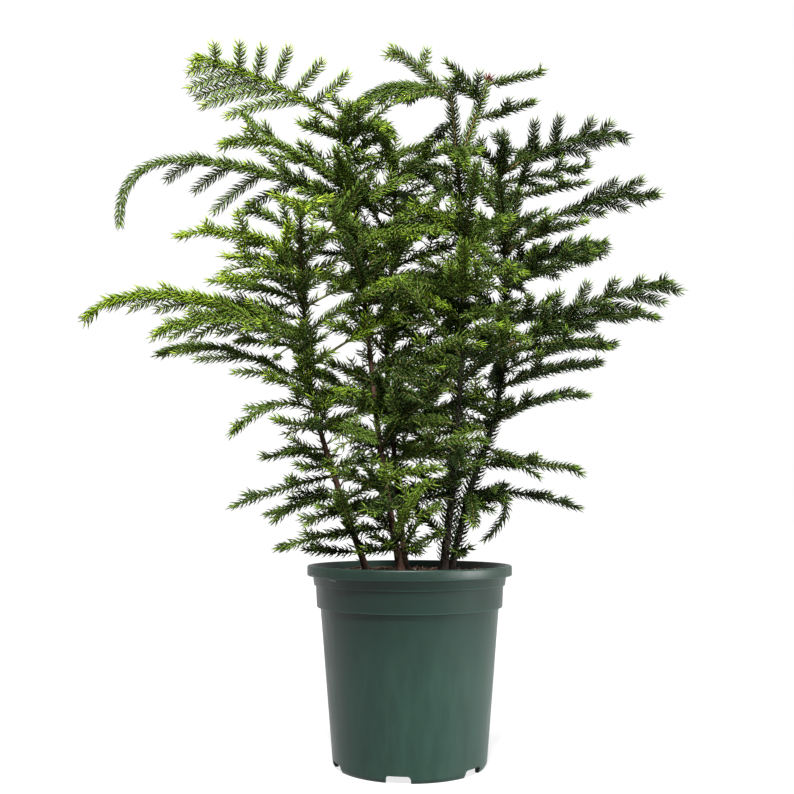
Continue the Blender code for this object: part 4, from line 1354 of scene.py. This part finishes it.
def main_spray(limb, tone, young):
    """The spray along a limb's own line, cut short by the length that its last needles add."""
    line = evened(limb_line(limb, CORE_START, 1, 2 * steps_for(limb_length(limb))))
    line = line[: -round(TIP_NEEDLES / np.linalg.norm(line[1] - line[0]))]
    ahead = Vector(line[-1] - line[0]).normalized()
    side = UP.cross(ahead).normalized()
    roll = Matrix.Rotation(-math.radians(limb.roll), 3, ahead)
    flat = np.array(roll @ ahead.cross(side))
    looks = (CORE_BARE, tone, young, CORE_FILL)
    return Spray(STEM_NAMED[limb.stem].name, line, flat, CORE_FOOT, CORE_TIP, *looks)


print("twigs on", LIMBS[0].name + ":", len(list(twig_sprays(LIMBS[0], 0, 0))))

# %% [markdown]
# Colour is dealt out by spray. The clump is brightest at its left and front, dull at its right and
# back and darkest low down. Part of the brightness on the left is fresher growth, and the rest is
# painted light and shade: light on the left and front, shade at the right, at the back and low inside
# the clump, laid into the greens. Bright limbs end in fresh yellow-green tips, and the shoots in the
# heart vary most. Each spray gets one tone from these few facts and a little seeded chance.

# %% Tones and the full list of sprays
BASE_TONE = {"bright": 0.53, "green": 0.44, "inner": 0.49}
YOUNG_TIP = {"bright": 0.008, "green": 0.004, "inner": 0.0}
TONE_SPREAD = {"bright": 0.22, "green": 0.28, "inner": 0.8}
LEFT_TONE = 1.0
BACK_TONE = 0.5
LOW_TONE = 1.7
LOW_HEIGHT = 0.42
TONE_PLACE = 0.6
SKY_SHARE = 0.3


def tone_of(limb):
    chance = random.Random(limb.name + " tone")
    middle = limb_point(limb, TONE_PLACE)
    # Painted light on the left and front, painted shade at the right, the back and low down.
    tone = BASE_TONE[limb.tint] - LEFT_TONE * middle.x - BACK_TONE * middle.y
    tone -= LOW_TONE * max(0.0, LOW_HEIGHT - middle.z)
    return tone + TONE_SPREAD[limb.tint] * (chance.random() - 0.5)


def all_sprays():
    for limb in (*LIMBS, *SLIM_LIMBS, *SHOOTS):
        tone, young = tone_of(limb), YOUNG_TIP[limb.tint]
        yield main_spray(limb, tone, young)
        for twig in twig_sprays(limb, tone, young):
            if in_window(twig.line).mean() < SKY_SHARE:
                yield twig


SPRAYS = list(all_sprays())
twig_length = sum(steps_of(spray.line).sum() for spray in SPRAYS)
print("sprays:", len(SPRAYS), "with", round(twig_length, 1), "m of twig")

# %% [markdown]
# The bare boughs at the foot of the eight longest limbs get the same barked rod as the stems. The
# twigs are slim rods without relief, because they are one to two millimetres thick and mostly
# hidden. All the twigs of one stem are joined into one piece.

# %% Boughs and twigs
BOUGH_FOOT, BOUGH_GROWTH = 0.0014, 0.003
BOUGH_RINGS = 40
BOUGH_OVERLAP = 0.01
BOUGH_ROD = rod(sides=12, rings=BOUGH_RINGS)
TWIG_ROD = rod(sides=5, rings=8)
TWIG_SKIN = ((0.105, 0.120, 0.018, 1), (0.075, 0.060, 0.014, 1))
TWIG_ROUGHNESS = (0.5, 0.75)


def bough_mesh(limb):
    line = limb_line(limb, 0.0, limb.bough + BOUGH_OVERLAP, BOUGH_RINGS)
    foot = BOUGH_FOOT + BOUGH_GROWTH * limb.reach
    cloud = bent(BOUGH_ROD, line, [foot, CORE_FOOT], np.array(UP))
    return joined_mesh("bark_" + limb.name, BOUGH_ROD, [barked(cloud, line, BOUGH_ROD)])


def twig_finish():
    """Green-gold skin of young twigs, browner in patches."""
    made, tree, shader = material("young_twig")
    place = object_vector(tree)
    skin = patchy(tree, place, scale=60.0, detail=3.0, contrast=2.4, colours=TWIG_SKIN)
    toned(tree, shader, skin, TWIG_ROUGHNESS, {})
    return made


for limb in LIMBS:
    if limb.bough:
        add_piece("bark_" + limb.name, bough_mesh(limb), BOUGH_BARK, "bough_bark", ["bough_" + limb.name])

TWIG_FINISH = twig_finish()
FOLIAGE_OF = {
    stem.name: ["foliage_" + limb.name for limb in LIMBS if limb.stem == stem.name] for stem in STEMS
}
for stem in STEMS:
    clouds = [
        bent(TWIG_ROD, spray.line, [spray.foot, spray.tip], spray.flat)
        for spray in SPRAYS
        if spray.owner == stem.name
    ]
    name = stem.name.replace("stem", "twigs")
    mesh = joined_mesh(name, TWIG_ROD, clouds)
    add_piece(name, mesh, TWIG_FINISH, "bough_bark", FOLIAGE_OF[stem.name])
    print(name, len(clouds), "twigs,", MADE[name], "triangles")

# %% [markdown]
# A needle of this pine is a soft awl, curved forward like a sickle. Here it is about 12 mm long and
# 2 mm thick. It starts as a three-sided cone, is cut once across, and its middle ring and point are
# moved onto the curve. That gives ten triangles, few enough to repeat many thousand times.

# %% One needle
NEEDLE_LENGTH = 0.0122
NEEDLE_WIDTH = 0.0021
BEND_SHARE = 0.50
FOOT_ANGLE = math.radians(54)
POINT_ANGLE = math.radians(32)
KNEE_WIDTH = 1.8


def needle_form():
    """X runs along the twig, Y outwards from it and Z across. The needle is of unit length."""
    half = NEEDLE_WIDTH / NEEDLE_LENGTH / 2
    bm = cut_cone(3, half, 0, [BEND_SHARE])
    bmesh.ops.remove_doubles(bm, verts=bm.verts, dist=SAME_PLACE)
    knee = level(FOOT_ANGLE) * BEND_SHARE
    point = knee + level(POINT_ANGLE) * (1 - BEND_SHARE)
    for vert in bm.verts:
        ring = Vector((-vert.co.x * math.sin(FOOT_ANGLE), vert.co.x * math.cos(FOOT_ANGLE), vert.co.y))
        if vert.co.z > 1 - SAME_PLACE:
            vert.co = point
        elif vert.co.z > SAME_PLACE:
            vert.co = knee + ring * KNEE_WIDTH
        else:
            vert.co = ring
    return form_of(bm)


NEEDLE = needle_form()
print("one needle:", len(NEEDLE.points), "corners,", len(NEEDLE.faces), "triangles")

# %% [markdown]
# Needles climb a twig in a spiral, each a golden angle round from the one before. Then they are
# combed a little towards the spray's flat plane, and those that still stand out of it are shorter,
# which gives the look of a feather. Near the tip they are shorter too and lean forward over the bud.

# %% Needles on the sprays
NEEDLES_PER_METRE = 1040
GOLDEN_ANGLE = math.pi * (3 - math.sqrt(5))
COMBING = 0.32
TIP_SHARE = 0.80
TIP_LEAN = math.radians(24)
LEAN_SPREAD = math.radians(12)
TIP_LENGTH = 0.85
LENGTH_CHANCE = 0.24
FACE_LENGTH = 0.82
LOWEST_NEEDLE = POT_HEIGHT + 0.002
NEEDLE_WINDOW = 0.6
LEAST_NEEDLES = 6
FOOT_LENGTH, FOOT_GROWTH = 0.7, 1.5


def needles_on(spray, chance, combing=COMBING, size=NEEDLE_LENGTH):
    """The corner points of a spray's needles and how far each stands from the spray's tip."""
    length = steps_of(spray.line).sum()
    count = max(LEAST_NEEDLES, round((length - spray.bare) * NEEDLES_PER_METRE * spray.fill))
    share = (spray.bare + (length - spray.bare) * (np.arange(count) + 0.5) / count) / length
    ahead = unit(along(ahead_of(spray.line), share))
    side = unit(np.cross(spray.flat, ahead))
    up = np.cross(ahead, side)
    turn = GOLDEN_ANGLE * np.arange(count) + chance.uniform(0, math.tau)
    turn -= combing * np.sin(2 * turn)
    out = side * np.cos(turn)[:, None] + up * np.sin(turn)[:, None]
    closing = np.clip((share - TIP_SHARE) / (1 - TIP_SHARE), 0, 1)
    lean = TIP_LEAN * closing**2 + LEAN_SPREAD * (chance.random(count) - 0.5)
    forward = ahead * np.cos(lean)[:, None] - out * np.sin(lean)[:, None]
    outward = out * np.cos(lean)[:, None] + ahead * np.sin(lean)[:, None]
    across = np.cross(forward, outward)
    uneven = 1 + LENGTH_CHANCE * (chance.random(count) - 0.5)
    scale = size * (1 - (1 - TIP_LENGTH) * closing) * uneven
    scale *= 1 - (1 - FACE_LENGTH) * np.abs(np.sin(turn))
    scale *= np.minimum(1, FOOT_LENGTH + FOOT_GROWTH * share)
    shape = scale[:, None, None] * NEEDLE.points[None]
    skin = spray.foot + (spray.tip - spray.foot) * share
    root = along(spray.line, share) + out * skin[:, None]
    stood = (
        shape[..., :1] * forward[:, None]
        + shape[..., 1:2] * outward[:, None]
        + shape[..., 2:] * across[:, None]
    )
    return root[:, None] + stood, length * (1 - share)


def clear_of(cloud):
    """Which needles of a cloud stand above the pot's rim and out of the sky windows."""
    above = cloud[..., 2].min(axis=1) > LOWEST_NEEDLE
    return above & ~in_window(cloud.mean(axis=1), NEEDLE_WINDOW)


print("needles per metre of twig:", NEEDLES_PER_METRE)

# %% [markdown]
# Six plain greens cover the whole clump, from the near black of old needles in shade to the
# yellow-green of this month's tips. Only the gloss varies within one of them, since a needle's wax
# is patchy. Each needle goes to the pile of its green, and each pile of a stem becomes one piece.

# %% Greens
GREENS = (
    ("deep", (0.009, 0.020, 0.002, 1), "needles"),
    ("dark", (0.027, 0.050, 0.007, 1), "needles"),
    ("middle", (0.060, 0.103, 0.013, 1), "needles"),
    ("fresh", (0.100, 0.165, 0.016, 1), "needles"),
    ("bright", (0.140, 0.220, 0.013, 1), "needles_bright"),
    ("tip", (0.240, 0.330, 0.025, 1), "needles_bright"),
)
WAX_ROUGHNESS = (0.55, 0.78)
YOUNGER = 2


def needle_green(name, colour):
    made, tree, shader = material("needle_" + name)
    wax = patchy(tree, object_vector(tree), scale=35.0, detail=2.0, contrast=2.0)
    toned(tree, shader, wax, WAX_ROUGHNESS, {"Base Color": colour, "Specular IOR Level": 0.12})
    return made


def dealt(sprays, seed):
    """The needles of some sprays in piles, one pile for each green."""
    chance = np.random.default_rng(seed)
    piles = [[] for _ in GREENS]
    for spray in sprays:
        cloud, from_tip = needles_on(spray, chance)
        kept = clear_of(cloud)
        pile = np.clip(int(spray.tone * (len(GREENS) - 1)), 0, len(GREENS) - 2)
        young = from_tip < spray.young
        piles[pile].append(cloud[kept & ~young])
        piles[min(pile + YOUNGER, len(GREENS) - 1)].append(cloud[kept & young])
    return [np.concatenate(pile) if pile else np.empty((0, *NEEDLE.points.shape)) for pile in piles]


NEEDLE_GREENS = [needle_green(name, colour) for name, colour, _ in GREENS]
needle_count = 0
for seed, stem in enumerate(STEMS):
    piles = dealt([spray for spray in SPRAYS if spray.owner == stem.name], seed)
    for (green, _, slot), finish, pile in zip(GREENS, NEEDLE_GREENS, piles):
        if not len(pile):
            continue
        name = stem.name.replace("stem", "needles") + "_" + green
        add_piece(name, joined_mesh(name, NEEDLE, pile), finish, slot, FOLIAGE_OF[stem.name])
        needle_count += len(pile)
        print(name, len(pile), "needles,", MADE[name], "triangles")
print("needles in all:", needle_count)

# %% [markdown]
# The leaders carry needles too, straight out of their bark. On the left ones most have dropped low
# down, and towards the tip they stand close. They are not combed flat, because a leader has no flat
# side. Each part of a leader has its own density, for stems on the left and on the right.

# %% Needles on the leaders
LEADER_PARTS = ((0.02, 0.45, 0.3, 1.4), (0.45, 0.75, 1.2, 1.8), (0.75, 1.0, 1.2, 1.6))
LEADER_STEPS = 100
LEADER_NEEDLE = 0.0125
LEADER_SEED = 100


def leader_sprays(stem):
    """Sprays along the parts of a stem."""
    _, line = stem_line(stem, LEADER_STEPS)
    for start, end, left_fill, right_fill in LEADER_PARTS:
        part = line[int(start * LEADER_STEPS) : int(end * LEADER_STEPS) + 1]
        foot, tip = stem_radius(stem, part[0][2]), stem_radius(stem, part[-1][2])
        fill = right_fill if on_right(stem) else left_fill
        yield Spray(stem.name, part, TOWARDS_BACK, foot, tip, fill=fill)


for seed, stem in enumerate(STEMS):
    chance = np.random.default_rng(LEADER_SEED + seed)
    clouds = []
    for spray in leader_sprays(stem):
        cloud, _ = needles_on(spray, chance, 0.0, LEADER_NEEDLE)
        clouds.append(cloud[clear_of(cloud)])
    name = stem.name.replace("stem", "leader_needles")
    mesh = joined_mesh(name, NEEDLE, np.concatenate(clouds))
    # Painted shade: leaders on the right take the deepest green for the clump's shade, those on the left
    # the dark one.
    green = NEEDLE_GREENS[0 if on_right(stem) else 1]
    add_piece(name, mesh, green, "needles", FOLIAGE_OF[stem.name])
    print(name, MADE[name], "triangles")

# %% [markdown]
# The second leader ends in a bud that has just opened: a star of red-brown scales. They are needles
# again, on a very short spray, with a finish of their own.

# %% Opening bud
BUD_LENGTH = 0.008
BUD_SCALE = 0.0110
BUD_FILL = 2.6
BUD_BROWN = (0.115, 0.032, 0.018, 1)
BUD_AIM = 0.9
BUD_STEPS = 4
BUD_SEED = 200


def bud_spray():
    """A short spray that runs on from the second leader's tip."""
    tip = limb_point(SECOND_LEADER, 1)
    ahead = (tip - limb_point(SECOND_LEADER, BUD_AIM)).normalized()
    shares = [i / BUD_STEPS - 0.5 for i in range(BUD_STEPS + 1)]
    line = np.array([tip + ahead * BUD_LENGTH * share for share in shares])
    return Spray(SECOND_LEADER.stem, line, TOWARDS_BACK, CORE_TIP, CORE_TIP, fill=BUD_FILL)


scales, _ = needles_on(bud_spray(), np.random.default_rng(BUD_SEED), 0.0, BUD_SCALE)
bud_mesh = joined_mesh("leader_bud", NEEDLE, scales)
bud_finish = needle_green("bud", BUD_BROWN)
add_piece("leader_bud", bud_mesh, bud_finish, "needles_bright", ["foliage_crest_second"])
print("bud scales:", len(scales))

# %% [markdown]
# The studio is plain: a wide floor, a white surround, one strong softbox high in front, and a weak
# low one on the right that lifts the pot. The camera and the gloss on the pot see the surround in
# full white, while the plant gets only a little light from it, so the crown keeps its deep shadows.
# The floor glows white too, a little less near the pot, where a soft shadow stays. The Standard view
# transform keeps white paper white.

# %% Studio
FLOOR_SIZE = 60.0
NEAR_GLOW = 0.80
SHADE_FROM, SHADE_TO = 0.10, 0.24
PAPER = ((0.20, 0.20, 0.20, 1), (0.17, 0.17, 0.17, 1))
WHITE = (1, 1, 1, 1)
SURROUND_LIGHT = 0.04


def studio_floor():
    bm = bmesh.new()
    bmesh.ops.create_grid(bm, x_segments=8, y_segments=8, size=FLOOR_SIZE / 2)
    made = placed("studio_floor", mesh_of(bm, "studio_floor"))
    finish, tree, shader = material("white_table")
    place = object_vector(tree)
    path = node(tree, "ShaderNodeLightPath").outputs
    away = node(tree, "ShaderNodeVectorMath", {"Vector": place}, operation="LENGTH").outputs["Value"]
    glow = ranged(tree, away, NEAR_GLOW, 1.0, SHADE_FROM, SHADE_TO)
    mirrored = maths(tree, "MAXIMUM", path["Is Camera Ray"], path["Is Glossy Ray"])
    paper = patchy(tree, place, scale=3.0, detail=4.0, contrast=0.3, colours=PAPER)
    fed(
        tree,
        shader,
        {
            "Base Color": paper["Colour"],
            "Roughness": 0.9,
            "Specular IOR Level": 0.1,
            "Emission Color": WHITE,
            "Emission Strength": maths(tree, "MULTIPLY", glow, mirrored),
        },
    )
    made.data.materials.append(finish)


def softbox(name, place, target, size, power, spread):
    light = bpy.data.lights.new(name, "AREA")
    light.shape = "DISK"
    light.size = size
    light.energy = power
    light.spread = math.radians(spread)
    made = placed(name, light)
    made.location = place
    made.rotation_euler = (Vector(target) - Vector(place)).to_track_quat("-Z", "Y").to_euler()


def white_surround():
    """A world that the camera and gloss see as pure white, and that lights the plant dimly."""
    world = bpy.data.worlds.new("white_surround")
    world.use_nodes = True
    tree = world.node_tree
    tree.nodes.clear()
    path = node(tree, "ShaderNodeLightPath").outputs
    shine = ranged(tree, path["Is Glossy Ray"], SURROUND_LIGHT, 1.0)
    strength = maths(tree, "MAXIMUM", shine, path["Is Camera Ray"])
    back = node(tree, "ShaderNodeBackground", {"Color": WHITE, "Strength": strength})
    node(tree, "ShaderNodeOutputWorld", {"Surface": back.outputs["Background"]})
    bpy.context.scene.world = world


studio_floor()
white_surround()
softbox("softbox_top", (-0.1, -1.6, 2.4), (0, 0, 0.45), size=0.45, power=230, spread=180)
softbox("softbox_right", (1.20, -0.45, 0.15), (0, 0, 0.10), size=0.9, power=5, spread=40)
bpy.context.scene.view_settings.view_transform = "Standard"

camera_data = bpy.data.cameras.new("photo_camera")
camera_data.lens = CAMERA_LENS
camera_data.sensor_width = SENSOR_WIDTH
camera = placed("photo_camera", camera_data)
camera.location = CAMERA_PLACE
camera.rotation_euler = (math.pi / 2 + CAMERA_TILT, 0, 0)
bpy.context.scene.camera = camera
print("lights:", len(bpy.data.lights), "and a camera with a lens of", CAMERA_LENS, "mm")

# %% Measure and finish
print("triangles in all:", sum(MADE.values()))
